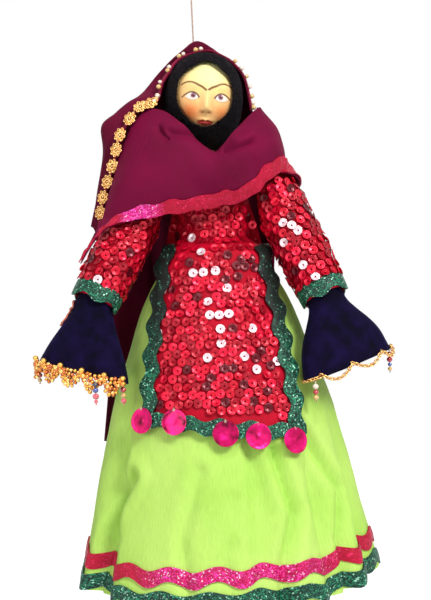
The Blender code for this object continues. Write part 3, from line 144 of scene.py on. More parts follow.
def through(points, t):
    """A point on the smooth curve through these points, with t from 0 to 1."""
    last = len(points) - 1
    at = min(max(t, 0.0), 1.0) * last
    i = min(int(at), last - 1)
    f = at - i
    a, b, c, d = (points[min(max(k, 0), last)] for k in (i - 1, i, i + 1, i + 2))
    return 0.5 * (
        2 * b + (c - a) * f + (2 * a - 5 * b + 4 * c - d) * f * f + (3 * b - a - 3 * c + d) * f ** 3
    )


def lengths_along(path):
    """How far along a line of points each of them lies."""
    runs = [0.0]
    for a, b in zip(path, path[1:]):
        runs.append(runs[-1] + (b - a).length)
    return runs


def turns_of(count):
    """Angles evenly spaced round one turn."""
    return [2 * pi * k / count for k in range(count)]


def grain(point, size, seed=0):
    """Smooth noise from -1 to 1, whose lumps have this size in metres."""
    return noise.noise(point / size + Vector((seed * 7.3, seed * 3.1, seed * 5.7)))


def to_object(name, bm, smooth_below_deg=50):
    """The drawn mesh as an object, with edges sharper than this angle kept crisp."""
    mesh = bpy.data.meshes.new(name)
    bm.to_mesh(mesh)
    bm.free()
    made = bpy.data.objects.new(name, mesh)
    bpy.context.scene.collection.objects.link(made)
    mesh.shade_smooth()
    mesh.set_sharp_from_angle(angle=radians(smooth_below_deg))
    return made


def applied(thing):
    """The thing with its modifiers made part of its mesh."""
    bpy.context.view_layer.update()
    mesh = bpy.data.meshes.new_from_object(thing.evaluated_get(bpy.context.evaluated_depsgraph_get()))
    thing.modifiers.clear()
    thing.data = mesh
    return thing


def settle(thing, body, finish, nodes=()):
    """Gives a piece its finish, the body it moves with, and the CAD nodes that it stands for."""
    thing.data.materials.clear()
    thing.data.materials.append(finish)
    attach(thing, body)
    if nodes:
        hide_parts(*nodes)
    return thing


def grid(place, across, down, size=(1.0, 1.0), wrap=False):
    """A flat grid whose points a rule puts in place, from their shares of the way across and down."""
    bm = bmesh.new()
    flat = bm.loops.layers.uv.new("flat")
    bmesh.ops.create_grid(bm, x_segments=across, y_segments=down, size=0.5)
    for face in bm.faces:
        for loop in face.loops:
            loop[flat].uv = ((loop.vert.co.x + 0.5) * size[0], (loop.vert.co.y + 0.5) * size[1])
    for vertex in bm.verts:
        vertex.co = place(vertex.co.x + 0.5, vertex.co.y + 0.5)
    if wrap:
        bmesh.ops.remove_doubles(bm, verts=bm.verts, dist=MERGE)
    bmesh.ops.recalc_face_normals(bm, faces=bm.faces)
    return bm


def cloth(name, place, counts, size, thickness, wrap=False):
    """A cloth with two faces and a rounded rim, from a rule that places its middle."""
    made = to_object(name, grid(place, *counts, size, wrap))
    wall = made.modifiers.new("Thickness", "SOLIDIFY")
    wall.thickness = thickness
    wall.offset = 0.0
    applied(made)
    made.data.shade_smooth()
    made.data.set_sharp_from_angle(angle=radians(55))
    return made


def tube_into(bm, points, radius, around=6, closed=False):
    """Sweeps a ring along points, with its ends filled. The radius is a number, or a rule of the share along."""
    rings = []
    last = len(points) - 1
    side = None
    for i, point in enumerate(points):
        ahead = points[(i + 1) % (last + 1)] if closed else points[min(i + 1, last)]
        behind = points[i - 1] if closed or i else points[0]
        along = (ahead - behind).normalized()
        if side is None:
            side = along.orthogonal().normalized()
        side = (side - along * side.dot(along)).normalized()
        turn = Matrix((side, along.cross(side), along)).transposed().to_4x4()
        wide = radius(i / last) if callable(radius) else radius
        made = bmesh.ops.create_circle(
            bm, segments=around, radius=wide, matrix=Matrix.Translation(point) @ turn
        )
        rings.append(made["verts"])
    pairs = list(zip(rings, rings[1:])) + ([(rings[-1], rings[0])] if closed else [])
    for first, second in pairs:
        for k in range(around):
            n = (k + 1) % around
            bm.faces.new((first[k], first[n], second[n], second[k]))
    if not closed:
        bm.faces.new(rings[0][::-1])
        bm.faces.new(rings[-1])


def ball_into(bm, centre, half, around=12, rings=8):
    """A ball, or an egg where half has three sizes."""
    sizes = Matrix.Diagonal((*half, 1.0)) if hasattr(half, "__len__") else Matrix.Scale(half, 4)
    place = Matrix.Translation(centre) @ sizes
    return bmesh.ops.create_uvsphere(
        bm, u_segments=around, v_segments=rings, radius=1.0, matrix=place
    )["verts"]


def spun_into(bm, profile, steps, merge, closed=False):
    """Turns a profile of (radius, height) once round the z axis."""
    ring = [bm.verts.new((radius, 0.0, high)) for radius, high in profile]
    edges = [bm.edges.new(pair) for pair in zip(ring, ring[1:] + ring[:1] if closed else ring[1:])]
    bmesh.ops.spin(
        bm, geom=ring + edges, cent=(0, 0, 0), axis=(0, 0, 1), angle=2 * pi, steps=steps, use_merge=True,
    )
    bmesh.ops.remove_doubles(bm, verts=bm.verts, dist=merge)
    bmesh.ops.recalc_face_normals(bm, faces=bm.faces)


def frame_on(point, normal, up=Vector((0.0, 0.0, 1.0))):
    """A matrix at a point whose z axis is the normal and whose y axis is upwards."""
    z = normal.normalized()
    x = up.cross(z).normalized()
    return Matrix.Translation(point) @ Matrix((x, z.cross(x), z)).transposed().to_4x4()


def scattered(name, pattern, places, tones=None):
    """Copies of a small pattern as one mesh, one for each matrix. Each copy may have its own tone."""
    source = bpy.data.meshes.new(name + "_pattern")
    pattern.to_mesh(source)
    pattern.free()
    points = np.empty(len(source.vertices) * 3)
    source.vertices.foreach_get("co", points)
    points = points.reshape(-1, 3)
    corners = np.empty(len(source.loops), int)
    source.loops.foreach_get("vertex_index", corners)
    starts = np.empty(len(source.polygons), int)
    source.polygons.foreach_get("loop_start", starts)
    turns = np.array([np.array(place) for place in places])
    copies = np.arange(len(places))[:, None]
    spread = np.einsum("nij,kj->nki", turns[:, :3, :3], points) + turns[:, None, :3, 3]
    mesh = bpy.data.meshes.new(name)
    mesh.vertices.add(spread.size // 3)
    mesh.vertices.foreach_set("co", spread.ravel())
    mesh.loops.add(len(corners) * len(places))
    mesh.loops.foreach_set("vertex_index", (corners + copies * len(points)).ravel())
    mesh.polygons.add(len(starts) * len(places))
    mesh.polygons.foreach_set("loop_start", (starts + copies * len(corners)).ravel())
    mesh.update(calc_edges=True)
    mesh.shade_smooth()
    if tones is not None:
        layer = mesh.attributes.new("tone", "FLOAT_COLOR", "POINT")
        shades = np.ones((len(places), len(points), 4))
        shades[:, :, :3] = np.array(tones)[:, None, :]
        layer.data.foreach_set("color", shades.ravel())
    bpy.data.meshes.remove(source)
    made = bpy.data.objects.new(name, mesh)
    bpy.context.scene.collection.objects.link(made)
    return made


def paint_tone(bm, colours):
    """Writes a colour for each vertex, from a list in the order of the vertices."""
    layer = bm.verts.layers.float_color.new("tone")
    for vertex, colour in zip(bm.verts, colours):
        vertex[layer] = (*colour, 1.0)


print("helpers ready")

# %% [markdown]
# ## Helpers for finishes
# A finish is a small graph of nodes. Building it by hand in the editor is easier to see, but writing it down keeps
# the sizes of weave and grain in metres, where they can be read. Colours are given as they look, from 0 to 255.

# %% Helpers for making finishes


def colour(red, green, blue):
    """A colour as it looks, turned into the linear values that the shader works in."""
    shares = [value / 255 for value in (red, green, blue)]
    return tuple(s / 12.92 if s <= 0.04045 else ((s + 0.055) / 1.055) ** 2.4 for s in shares)


class Finish:
    """A procedural material, put together node by node."""

    def __init__(self, name, **sockets):
        self.material = bpy.data.materials.new(name)
        self.material.use_nodes = True
        self.nodes = self.material.node_tree.nodes
        self.links = self.material.node_tree.links
        self.shader = self.nodes["Principled BSDF"]
        for socket, value in sockets.items():
            self.put(self.shader.inputs[socket.replace("_", " ")], value)

    def put(self, socket, value):
        if isinstance(value, bpy.types.NodeSocket):
            self.links.new(value, socket)
        elif socket.type == "RGBA" and len(value) == 3:
            socket.default_value = (*value, 1.0)
        else:
            socket.default_value = value

    def node(self, kind, inputs=(), output=0, **settings):
        made = self.nodes.new("ShaderNode" + kind)
        for key, value in settings.items():
            setattr(made, key, value)
        for key, value in dict(inputs).items():
            self.put(made.inputs[key], value)
        return made.outputs[output]

    def place(self):
        return self.node("TexCoord", output="Object")

    def flat(self):
        return self.node("UVMap", uv_map="flat")

    def tone(self):
        return self.node("Attribute", attribute_name="tone", output="Color")

    def noise(self, vector, size, detail=3.0):
        return self.node("TexNoise", {"Vector": vector, "Scale": 1 / size, "Detail": detail})

    def cells(self, vector, size):
        return self.node("TexVoronoi", {"Vector": vector, "Scale": 1 / size}, "Color")

    def math(self, operation, a, b=0.0):
        return self.node("Math", {0: a, 1: b}, operation=operation)

    def stretch(self, vector, sizes):
        return self.node("VectorMath", {0: vector, 1: sizes}, operation="MULTIPLY")

    def parts(self, vector, output):
        return self.node("SeparateXYZ", {0: vector}, output)

    def ramp(self, value, *stops):
        """A colour for each value, on a straight line between the stops, which are (place, colour)."""
        made = self.nodes.new("ShaderNodeValToRGB")
        self.links.new(value, made.inputs[0])
        elements = made.color_ramp.elements
        while len(elements) < len(stops):
            elements.new(0.5)
        for element, (where, shade) in zip(elements, stops):
            element.position = where
            element.color = (*shade, 1.0) if hasattr(shade, "__len__") else (shade, shade, shade, 1.0)
        return made.outputs[0]

    def blend(self, share, a, b, kind="MIX"):
        made = self.nodes.new("ShaderNodeMix")
        made.data_type = "RGBA"
        made.blend_type = kind
        for key, value in ((0, share), (6, a), (7, b)):
            self.put(made.inputs[key], value)
        return made.outputs[2]

    def bump(self, height, depth, after=None):
        inputs = {"Height": height, "Distance": depth, "Strength": 1.0}
        if after:
            inputs["Normal"] = after
        return self.node("Bump", inputs)

    def weave(self, vector, thread):
        """Threads over and under each other, as a height from 0 to 1."""
        turn = pi / thread
        a = self.math("SINE", self.math("MULTIPLY", self.parts(vector, 0), turn))
        b = self.math("SINE", self.math("MULTIPLY", self.parts(vector, 1), turn))
        return self.math("ADD", self.math("MULTIPLY", self.math("MULTIPLY", a, b), 0.5), 0.5)

    def wear(self, **sockets):
        for socket, value in sockets.items():
            self.put(self.shader.inputs[socket.replace("_", " ")], value)
        return self.material


print("finishes can be made")

# %% [markdown]
# ## The string
# The doll hangs by one thread from the crown, knotted through the peak of the veil. Sewing thread this thick is two
# plies twisted together, so two thin tubes wind round each other along the path. A loop for a hook ends it, just
# above the photograph's edge. Knots are the same thread wound over itself.

# %% The thread's finish
THREAD = 0.0012
# A ply's radius as a share of the thread, and how far the plies are pressed into each other.
PLY_SHARE = 0.29
PLY_PRESSED = 0.8
PITCH = 0.0026
STEPS_A_TWIST = 8

thread_look = Finish("thread_look", Roughness=0.8, Sheen_Weight=0.3)
fibres = thread_look.noise(thread_look.place(), 0.0005, 4)
thread_finish = thread_look.wear(
    Base_Color=thread_look.ramp(fibres, (0.3, colour(150, 112, 98)), (0.7, colour(212, 182, 166))),
    Normal=thread_look.bump(fibres, 0.00012),
)

# %% The hanging string, its loop and its knots


def twisted_into(bm, path):
    """Two plies round each other along a path."""
    runs = lengths_along(path)
    steps = max(STEPS_A_TWIST, int(runs[-1] / PITCH * STEPS_A_TWIST))
    places = np.interp(np.linspace(0, runs[-1], steps + 1), runs, range(len(path)))
    for start in (0.0, pi):
        line = []
        side = Vector((0.0, 1.0, 0.0))
        for k, at in enumerate(places):
            i = min(int(at), len(path) - 2)
            along = (path[i + 1] - path[i]).normalized()
            side = (side - along * side.dot(along)).normalized()
            angle = start + 2 * pi * runs[-1] * k / steps / PITCH
            off = side * cos(angle) + along.cross(side) * sin(angle)
            line.append(path[i].lerp(path[i + 1], at - i) + off * THREAD * PLY_SHARE * PLY_PRESSED)
        tube_into(bm, line, THREAD * PLY_SHARE, 5)


def wound_knot(name, body, node):
    """A knot: turns of thread wound round the standing part, and one across them."""
    low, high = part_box(node)
    centre = (low + high) / 2
    half = (high - low) / 2
    bm = bmesh.new()
    wide = half.x - THREAD / 2
    turns = max(2, round((high.z - low.z) / THREAD))
    steps = 14 * turns
    coil = []
    for i in range(steps + 1):
        s = i / steps
        angle = 2 * pi * turns * s
        swell = wide * (0.75 + 0.25 * sin(pi * s))
        rise = (half.z - THREAD / 2) * (2 * s - 1)
        coil.append(centre + Vector((swell * cos(angle), swell * sin(angle), rise)))
    twisted_into(bm, coil)
    across = [
        centre + Vector((wide * 1.12 * sin(a), -wide * 1.12 * cos(a) * 0.6, half.z * 0.8 * cos(a)))
        for a in [pi * k / 10 for k in range(11)]
    ]
    twisted_into(bm, across)
    ball_into(bm, centre, (wide * 0.75, wide * 0.75, half.z * 0.9), 8, 6)
    made = to_object(name, bm, 80)
    return settle(made, body, thread_finish, [node])


loop_low, loop_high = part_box("hanging_loop")
loop_centre = (loop_low + loop_high) / 2
loop_half = (loop_high - loop_low) / 2
loop_path = []
for i in range(41):
    angle = -pi / 2 + 2 * pi * (0.02 + 0.96 * i / 40)
    narrow = 1 - 0.45 * (1 - sin(angle)) / 2
    wide = cos(angle) * narrow * (loop_half.x - THREAD / 2)
    loop_path.append(loop_centre + Vector((wide, 0.0, sin(angle) * (loop_half.z - THREAD / 2))))
bm = bmesh.new()
twisted_into(bm, loop_path)
loop = settle(to_object("thread_loop", bm, 80), "string", thread_finish, ["hanging_loop"])
loop_knot = wound_knot("loop_winding", "string", "loop_knot")
wound_knot("crown_winding", "doll", "crown_knot")

string_low, string_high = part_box("hanging_string")
string_path = [Vector((0.0, 0.0, string_low.z + (string_high.z - string_low.z) * i / 16)) for i in range(17)]
bm = bmesh.new()
twisted_into(bm, string_path)
string = settle(to_object("string_thread", bm, 80), "string", thread_finish, ["hanging_string"])
print("string:", round((string_path[-1] - string_path[0]).length * 1000, 1), "mm")

# %% [markdown]
# ## The head and its painted face
# Under the cloth is a hard mask with a full, rather flat face, over which painted cloth is stretched. The mask is a
# ball squared a little towards a box. Its nose, sockets, lips and cheeks are soft mounds and hollows added to the
# front, which is easier to keep smooth than sculpting. The same rule makes the second head, a little smaller.

# %% The mask's form
AXIS_X = 0.0075
HEAD_ASIDE = 0.0023
HEAD_X = 0.0052
FACE_Z = -0.1039
HOOD_Z = -0.1065
HEAD_HALF = Vector((0.0236, 0.0242, 0.0272))
HOOD_HALF = Vector((0.0273, 0.026, 0.0330))
SQUARENESS = 2.2
HEAD_TURN = Matrix.Rotation(radians(3.5), 3, "Z") @ Matrix.Rotation(radians(6.5), 3, "Y")
MM = 0.001

# Mounds and hollows of the face: across and up from the middle, how wide, how high, how far out, in millimetres.
# What lies off the middle is there on both sides.
NOSE = ((0.0, -1.0, 2.6, 6.5, 1.3), (0.0, -7.5, 2.9, 4.5, 1.9), (0.0, -10.6, 2.9, 2.6, 1.7))
NOSTRILS = ((2.9, -11.6, 1.6, 1.4, 0.8), (1.6, -13.4, 1.0, 0.7, -0.7))
SOCKETS_AND_EYEBALLS = ((10.0, -2.0, 6.2, 4.2, -1.5), (10.0, -2.3, 4.4, 2.5, 1.25))
BROW_BONES_AND_CHEEKS = ((9.5, 6.0, 7.0, 2.6, 0.5), (12.0, -12.0, 6.5, 6.0, 0.9))
LIPS = (
    (0.0, -17.7, 4.6, 1.3, 0.9), (0.0, -19.7, 3.8, 1.4, 1.1), (0.0, -18.7, 5.0, 0.45, -0.7),
    (0.0, -15.6, 1.2, 1.4, -0.35)
)
CHIN = ((0.0, -24.0, 5.0, 3.4, 0.9),)
FEATURES = [
    (side * across, *rest)
    for across, *rest in NOSE + NOSTRILS + SOCKETS_AND_EYEBALLS + BROW_BONES_AND_CHEEKS + LIPS + CHIN
    for side in ((-1, 1) if across else (1,))
]
FACE_SHIFT_MM = 1.4


def squared(co):
    """A point of a ball, moved outwards so that the ball is a little squared."""
    total = sum(abs(share) ** SQUARENESS for share in co)
    return co * max(total, 1e-9) ** (-1 / SQUARENESS)


def mask_point(co, shift):
    """A point of the mask, from a point of a ball of radius 1 and how far the features sit to one side."""
    co = squared(co)
    narrow = 1.0 - 0.10 * smooth_step(-co.z)
    point = Vector((co.x * HEAD_HALF.x * narrow, co.y * HEAD_HALF.y, co.z * HEAD_HALF.z))
    if co.y < 0:
        x = point.x / MM - shift
        z = point.z / MM
        out = sum(
            high * exp(-(((x - across) / wide) ** 2) - ((z - up) / tall) ** 2)
            for across, up, wide, tall, high in FEATURES
        )
        point.y -= out * MM * smooth_step(-co.y * 3)
    return point


# %% [markdown]
# The paint is brushed on: a pale yellow forehead, orange cheeks, thin brown brows that nearly meet, mauve eyes under
# dark lids, and a small red mouth. Each stroke here is a rule that says how much of its colour a point has, with a
# soft edge as wide as a brush leaves, and the colours are laid over each other in the order that a painter would.

# %% The paint, as strokes laid over each other
SKIN = colour(250, 208, 138)
STROKE_EDGE_MM = 0.16


def edge(distance, soft=STROKE_EDGE_MM):
    """1 inside a stroke, where the distance is negative, and 0 outside it."""
    share = np.clip(0.5 - distance / (2 * soft), 0.0, 1.0)
    return share * share * (3 - 2 * share)


def spot(x, z, across, up, wide, tall):
    """A soft spot of paint."""
    return np.exp(-(((x - across) / wide) ** 2) - ((z - up) / tall) ** 2)


def stroke(x, z, points, widths):
    """How much of a brush line through these points covers a place. Its width goes from the first to the last."""
    best = np.full_like(x, 9.0)
    last = len(points) - 1
    for i, (a, b) in enumerate(zip(points, points[1:])):
        run = (b[0] - a[0], b[1] - a[1])
        f = np.clip(((x - a[0]) * run[0] + (z - a[1]) * run[1]) / (run[0] ** 2 + run[1] ** 2), 0.0, 1.0)
        wide = widths[0] + (widths[1] - widths[0]) * (i + f) / last
        best = np.minimum(best, np.hypot(x - a[0] - run[0] * f, z - a[1] - run[1] * f) - wide)
    return edge(best)


def arc(start, middle, end, steps=8):
    """Points on a curve through three places."""
    made = []
    for t in [i / steps for i in range(steps + 1)]:
        places = zip(start, middle, end)
        made.append(
            tuple((1 - t) * (1 - 2 * t) * a + 4 * t * (1 - t) * m - t * (1 - 2 * t) * b for a, m, b in places)
        )
    return made


# Brush lines in millimetres across and up, the viewer's left one first.
BROWS = (
    arc((-17.6, 5.4), (-12.6, 7.3), (-6.4, 5.3)) + [(-3.2, 3.8), (-0.9, 2.0)],
    arc((16.2, 6.0), (11.6, 7.5), (6.4, 5.5)) + [(3.2, 4.0), (1.0, 2.4)],
)
LIDS = (arc((-16.8, -3.1), (-10.4, 0.5), (-5.4, -2.9)), arc((16.4, -2.6), (10.2, 0.6), (5.4, -2.9)))
LOWER_LIDS = (arc((-14.6, -3.6), (-10.0, -5.2), (-5.8, -3.4)), arc((14.8, -3.4), (10.0, -5.2), (5.8, -3.4)))
EYES = (-9.9, 9.9)


def paint(x, z, load):
    """The mask's colours at places in millimetres across and up. Load is how much paint the brush held there."""
    layers = [
        (0.9 * np.clip((z + 3) / 14, 0, 1) * spot(x, 0, 0, 0, 17, 1), colour(252, 247, 172)),
        (0.75 * spot(x, z, 0, -6, 2.2, 8), colour(252, 226, 156)),
        # The viewer's left cheek is painted darker and stronger than the right: the orange blush is paint, the
        # difference between the cheeks is painted shade.
        (1.0 * spot(x, z, -11.5, -13.5, 8.0, 7.5), colour(240, 124, 62)),
        (0.9 * spot(x, z, 11.5, -13.0, 7.0, 7.5), colour(246, 142, 78)),
        (0.55 * spot(x, z, 0, -23, 9, 3.2), colour(240, 150, 104)),
        (0.4 * (spot(x, z, -4.2, -5.5, 1.2, 6) + spot(x, z, 4.2, -5.5, 1.2, 6)), colour(246, 166, 100)),
        (0.4 * np.clip((abs(x) - 13) / 6, 0, 1), colour(240, 160, 100)),
        (0.45 * sum(spot(x, z, e, 2.0, 5.5, 1.6) for e in EYES), colour(236, 214, 120)),
        (0.7 * sum(spot(x, z, s, -13.0, 1.1, 0.6) for s in (-2.2, 2.2)), colour(184, 96, 50)),
    ]
    for brow in BROWS:
        layers.append((0.95 * stroke(x, z, brow, (0.55, 0.80)), colour(112, 60, 34)))
    for side, middle in enumerate(EYES):
        high = 0.1 - 0.115 * (x - middle) ** 2
        low = -4.9 + 0.085 * (x - middle) ** 2
        white = edge(np.maximum(z - high, low - z), 0.3)
        look = middle + (0.5 if middle < 0 else -0.5)
        layers += [
            (0.95 * white, colour(250, 240, 232)),
            (white * edge(np.hypot(x - look, z + 1.9) - 1.75), colour(126, 62, 88)),
            (white * edge(np.hypot(x - look, z + 1.9) - 0.8), colour(74, 28, 48)),
            (0.8 * white * edge(np.hypot(x - look - 0.6, z + 1.2) - 0.28), colour(250, 236, 240)),
            (0.98 * stroke(x, z, LIDS[side], (0.45, 0.62)), colour(84, 32, 40)),
            (0.55 * stroke(x, z, LOWER_LIDS[side], (0.2, 0.24)), colour(164, 104, 70)),
        ]
    z = z + 0.3
    x = x * 0.86
    bow = 0.45 * (spot(x, 0, 1.7, 0, 1.1, 1) + spot(x, 0, -1.7, 0, 1.1, 1)) - 0.5 * spot(x, 0, 0, 0, 0.8, 1)
    upper = edge(np.maximum.reduce([z + 17.6 - bow + 0.028 * x * x, -18.9 - z, abs(x) - 4.9]))
    lower = edge(np.maximum.reduce([z + 18.7, -20.9 - z + 0.085 * x * x, abs(x) - 4.4]))
    layers += [
        (1.0 * upper, colour(172, 26, 34)),
        (1.0 * lower, colour(206, 44, 48)),
        (0.6 * lower * spot(x, z, 0, -19.8, 2.2, 0.6), colour(226, 104, 92)),
        (
            0.9 * stroke(x, z, arc((-4.7, -18.4), (0.0, -18.75), (4.7, -18.4)), (0.2, 0.2)),
            colour(110, 20, 30)
        ),
    ]
    shade = np.tile(np.array(SKIN), (len(x), 1))
    for share, over in layers:
        share = np.clip(share * load, 0.0, 1.0)[:, None]
        shade = shade + (np.array(over) - shade) * share
    return shade


# %% Both heads
def make_mask(name, node, centre, turn, size, shift, columns, rows, body):
    """A ball whose front is closely meshed, so that the paint has fine edges."""

    def place(u, v):
        # Columns crowd towards the face, and the poles lie at the top and the bottom.
        angle = 2 * pi * (u - 0.5)
        angle -= 0.62 * sin(angle)
        polar = pi * v
        return Vector((sin(polar) * sin(angle), -sin(polar) * cos(angle), cos(polar)))

    bm = grid(place, columns, rows, wrap=True)
    places = [mask_point(vertex.co, shift) for vertex in bm.verts]
    load = np.array([0.94 + 0.12 * grain(point, 0.0012, 3) if point.y < 0 else 0.0 for point in places])
    flat = np.array(places) / MM
    tones = paint(flat[:, 0] - shift, flat[:, 2], load)
    for vertex, local in zip(bm.verts, places):
        vertex.co = centre + turn @ (local * size)
    bmesh.ops.recalc_face_normals(bm, faces=bm.faces)
    paint_tone(bm, tones)
    made = to_object(name, bm, 180)
    print(name, len(made.data.polygons), "faces")
    return settle(made, body, face_finish, [node])


face_look = Finish("face_look", Roughness=0.5, Specular_IOR_Level=0.2)
skin_place = face_look.place()
brush = face_look.noise(face_look.stretch(skin_place, (1.0, 1.0, 0.35)), 0.0011, 4)
mottle = face_look.noise(skin_place, 0.006, 2)
brushed = face_look.blend(0.16, face_look.tone(), face_look.ramp(brush, (0.35, 0.55), (0.7, 1.0)), "MULTIPLY")
stockinet = face_look.noise(skin_place, 0.00045, 2)
face_finish = face_look.wear(
    Base_Color=face_look.blend(0.10, brushed, face_look.ramp(mottle, (0.4, 0.6), (0.65, 1.0)), "MULTIPLY"),
    Roughness=face_look.ramp(brush, (0.3, 0.42), (0.75, 0.62)),
    Normal=face_look.bump(stockinet, 0.00006, face_look.bump(brush, 0.00008)),
)
LOWER_SIZE = 0.94
LOWER_TOP_Z = -0.2765
lower_hood_z = LOWER_TOP_Z - 0.005 - HOOD_HALF.z * LOWER_SIZE
lower_face_z = lower_hood_z - (FACE_Z - HOOD_Z) * LOWER_SIZE
UPSIDE_DOWN = Matrix.Rotation(pi, 3, "Y")
make_mask(
    "painted_head", "head", Vector((HEAD_X, 0.0, FACE_Z)), HEAD_TURN, 1.0, FACE_SHIFT_MM, 260, 230, "doll"
)
make_mask(
    "lower_painted_head", "lower_head", Vector((AXIS_X, 0.0, lower_face_z)), UPSIDE_DOWN, LOWER_SIZE, 0.0,
    200, 180, "doll"
)

# %% [markdown]
# ## The hood and the scarf
# Round the face is a black hood of brushed wool, which stands for hair too: its edge is fuzzy and laps over the chin
# unevenly. Wool has two looks at once, a lumpy felted body and loose fibres that catch light against the edge. Hair
# particles would do it, but a mesh of tiny tapered fibres exports with the model, so that is used. The lower head
# wears a plain cloth scarf of the same cut.

# %% The hood's form and its fibres
FACE_HALF = Vector((0.0187, 0.0, 0.0225))
FIBRES = 5200
rng = np.random.default_rng(7)


def hood_point(angle, s, outer, lumps, turn, hood_centre, face_centre, size):
    """A point of the hood: the angle round the face, and from the back, 0, to the rolled edge at the face, 1."""
    half = HOOD_HALF if outer else HEAD_HALF
    pinch = 1 - 0.10 * bell_curve(abs(degrees(atan2(sin(angle), abs(cos(angle)))) - 58), 22)
    chin_cover = 1 - 0.10 * smooth_step(-1.6 * sin(angle) - 0.4) * (lumps > 0.5)
    opening = hypot(FACE_HALF.x / half.x * cos(angle), FACE_HALF.z / half.z * sin(angle))
    opening *= pinch * chin_cover
    polar = s * (pi - asin(min(0.90, opening)))
    across = sin(polar)
    point = squared(Vector((across * cos(angle), cos(polar), across * sin(angle))))
    if not outer:
        spare = 0.0011
        local = Vector((point.x * (half.x + spare), point.y * (half.y + spare), point.z * (half.z + spare)))
        return face_centre + turn @ local * size
    chin = 1.0 + 0.085 * smooth_step(-point.z * 1.4) * smooth_step(-point.y * 2 + 0.6) * (lumps > 0.5)
    point = Vector((point.x * half.x, point.y * half.y, point.z * half.z * chin))
    point += point.normalized() * lumps * (
        0.0005 * grain(point, 0.0032, 1) + 0.0004 * grain(point, 0.0011, 2)
    )
    return hood_centre.lerp(face_centre, smooth_step((s - 0.5) * 2)) + turn @ point * size


def make_hood(name, node, hood_centre, face_centre, turn, size, lumps, finish):
    def place(u, v):
        angle = 2 * pi * u
        outer = v <= 0.5
        s = (v if outer else 1 - v) * 2
        s = s - 0.07 * sin(2 * pi * s) if s > 0.5 else s
        return hood_point(angle, s, outer, lumps, turn, hood_centre, face_centre, size)

    bm = grid(place, 120, 120, (0.16, 0.16), wrap=True)
    made = to_object(name, bm, 180)
    settle(made, "doll", finish, [node])
    print(name, len(made.data.polygons), "faces")
    return made


wool_look = Finish(
    "wool_look", Roughness=0.95, Specular_IOR_Level=0.15, Sheen_Weight=0.12, Sheen_Roughness=0.5
)
wool_look.put(wool_look.shader.inputs["Sheen Tint"], (*colour(96, 84, 96), 1.0))
wool_place = wool_look.place()
curls = wool_look.noise(wool_place, 0.0016, 5)
strands = wool_look.noise(wool_place, 0.0005, 3)
wool_finish = wool_look.wear(
    Base_Color=wool_look.ramp(
        curls, (0.3, colour(6, 5, 7)), (0.62, colour(20, 16, 19)), (0.85, colour(36, 29, 33))
    ),
    Normal=wool_look.bump(strands, 0.0003, wool_look.bump(curls, 0.0012)),
)
hood_centre = Vector((HEAD_X, 0.0, HOOD_Z))
face_centre = Vector((HEAD_X, 0.0, FACE_Z))
make_hood("wool_hood", "hood", hood_centre, face_centre, HEAD_TURN, 1.0, 1.0, wool_finish)


def fibre_pattern(thick):
    """One tapered fibre, one unit long and bent over at its end."""
    made = bmesh.new()
    line = [Vector((0.0, 0.0, 0.0)), Vector((0.2, 0.0, 0.5)), Vector((0.7, 0.0, 0.8))]
    tube_into(made, line, lambda s: thick * (1.15 - s), 3)
    return made


roots = []
for _ in range(FIBRES):
    angle = rng.uniform(0, 2 * pi)
    s = 1.0 - abs(rng.normal(0, 0.10)) if rng.uniform() < 0.62 else rng.uniform(0.25, 0.95)
    root = hood_point(angle, s, True, 1.0, HEAD_TURN, hood_centre, face_centre, 1.0)
    out = (root - Vector((HEAD_X, 0.004, FACE_Z))).normalized()
    if s > 0.93:
        inwards = face_centre - root
        inwards.y = 0.0
        out = (Vector((0.0, -0.55, 0.0)) + inwards.normalized() * rng.uniform(0.0, 0.9)).normalized()
    lean = Vector(rng.normal(0, 1, 3))
    low = max(0.0, -sin(angle)) if s > 0.9 else 0.0
    length = rng.uniform(0.0010, 0.0022) * (1 + 0.7 * low)
    roots.append(frame_on(root - out * 0.0004, out, lean) @ Matrix.Scale(length, 4))
fuzz = settle(scattered("wool_fibres", fibre_pattern(0.05), roots), "doll", wool_finish)
print("fibres:", FIBRES, "faces:", len(fuzz.data.polygons))

# %% [markdown]
# ## The stuffed body, arms and hands
# Most of this is hidden, but it carries everything. Each part is calico stuffed firm: the CAD solid already has its
# place and rough form, so a copy of it is welded, turned to quads and subdivided, which rounds it as stuffing does,
# and a little noise gives the dents. The copy is in the same place, so nothing needs fitting.

# %% Stuffed parts from the CAD solids
calico_look = Finish("calico_look", Roughness=0.9, Sheen_Weight=0.2)
calico_place = calico_look.place()
calico_height = calico_look.weave(calico_place, 0.0007)
calico_finish = calico_look.wear(
    Base_Color=calico_look.ramp(
        calico_look.noise(calico_place, 0.02, 4), (0.35, colour(206, 160, 128)), (0.65, colour(232, 192, 160))
    ),
    Normal=calico_look.bump(calico_height, 0.00012),
)


def softened(name, node, levels=1, dents=0.0, dent_size=0.012):
    """A copy of a CAD node, welded, rounded and a little dented."""
    bm = bmesh.new()
    bm.from_mesh(frame["nodes"][node].data)
    bmesh.ops.remove_doubles(bm, verts=bm.verts, dist=2e-5)
    bmesh.ops.join_triangles(bm, faces=bm.faces, angle_face_threshold=0.7, angle_shape_threshold=0.9)
    made = to_object(name, bm, 180)
    rounder = made.modifiers.new("Rounder", "SUBSURF")
    rounder.levels = levels
    rounder.render_levels = levels
    applied(made)
    if dents:
        for vertex in made.data.vertices:
            vertex.co += vertex.normal * dents * grain(vertex.co, dent_size)
    made.data.shade_smooth()
    return made


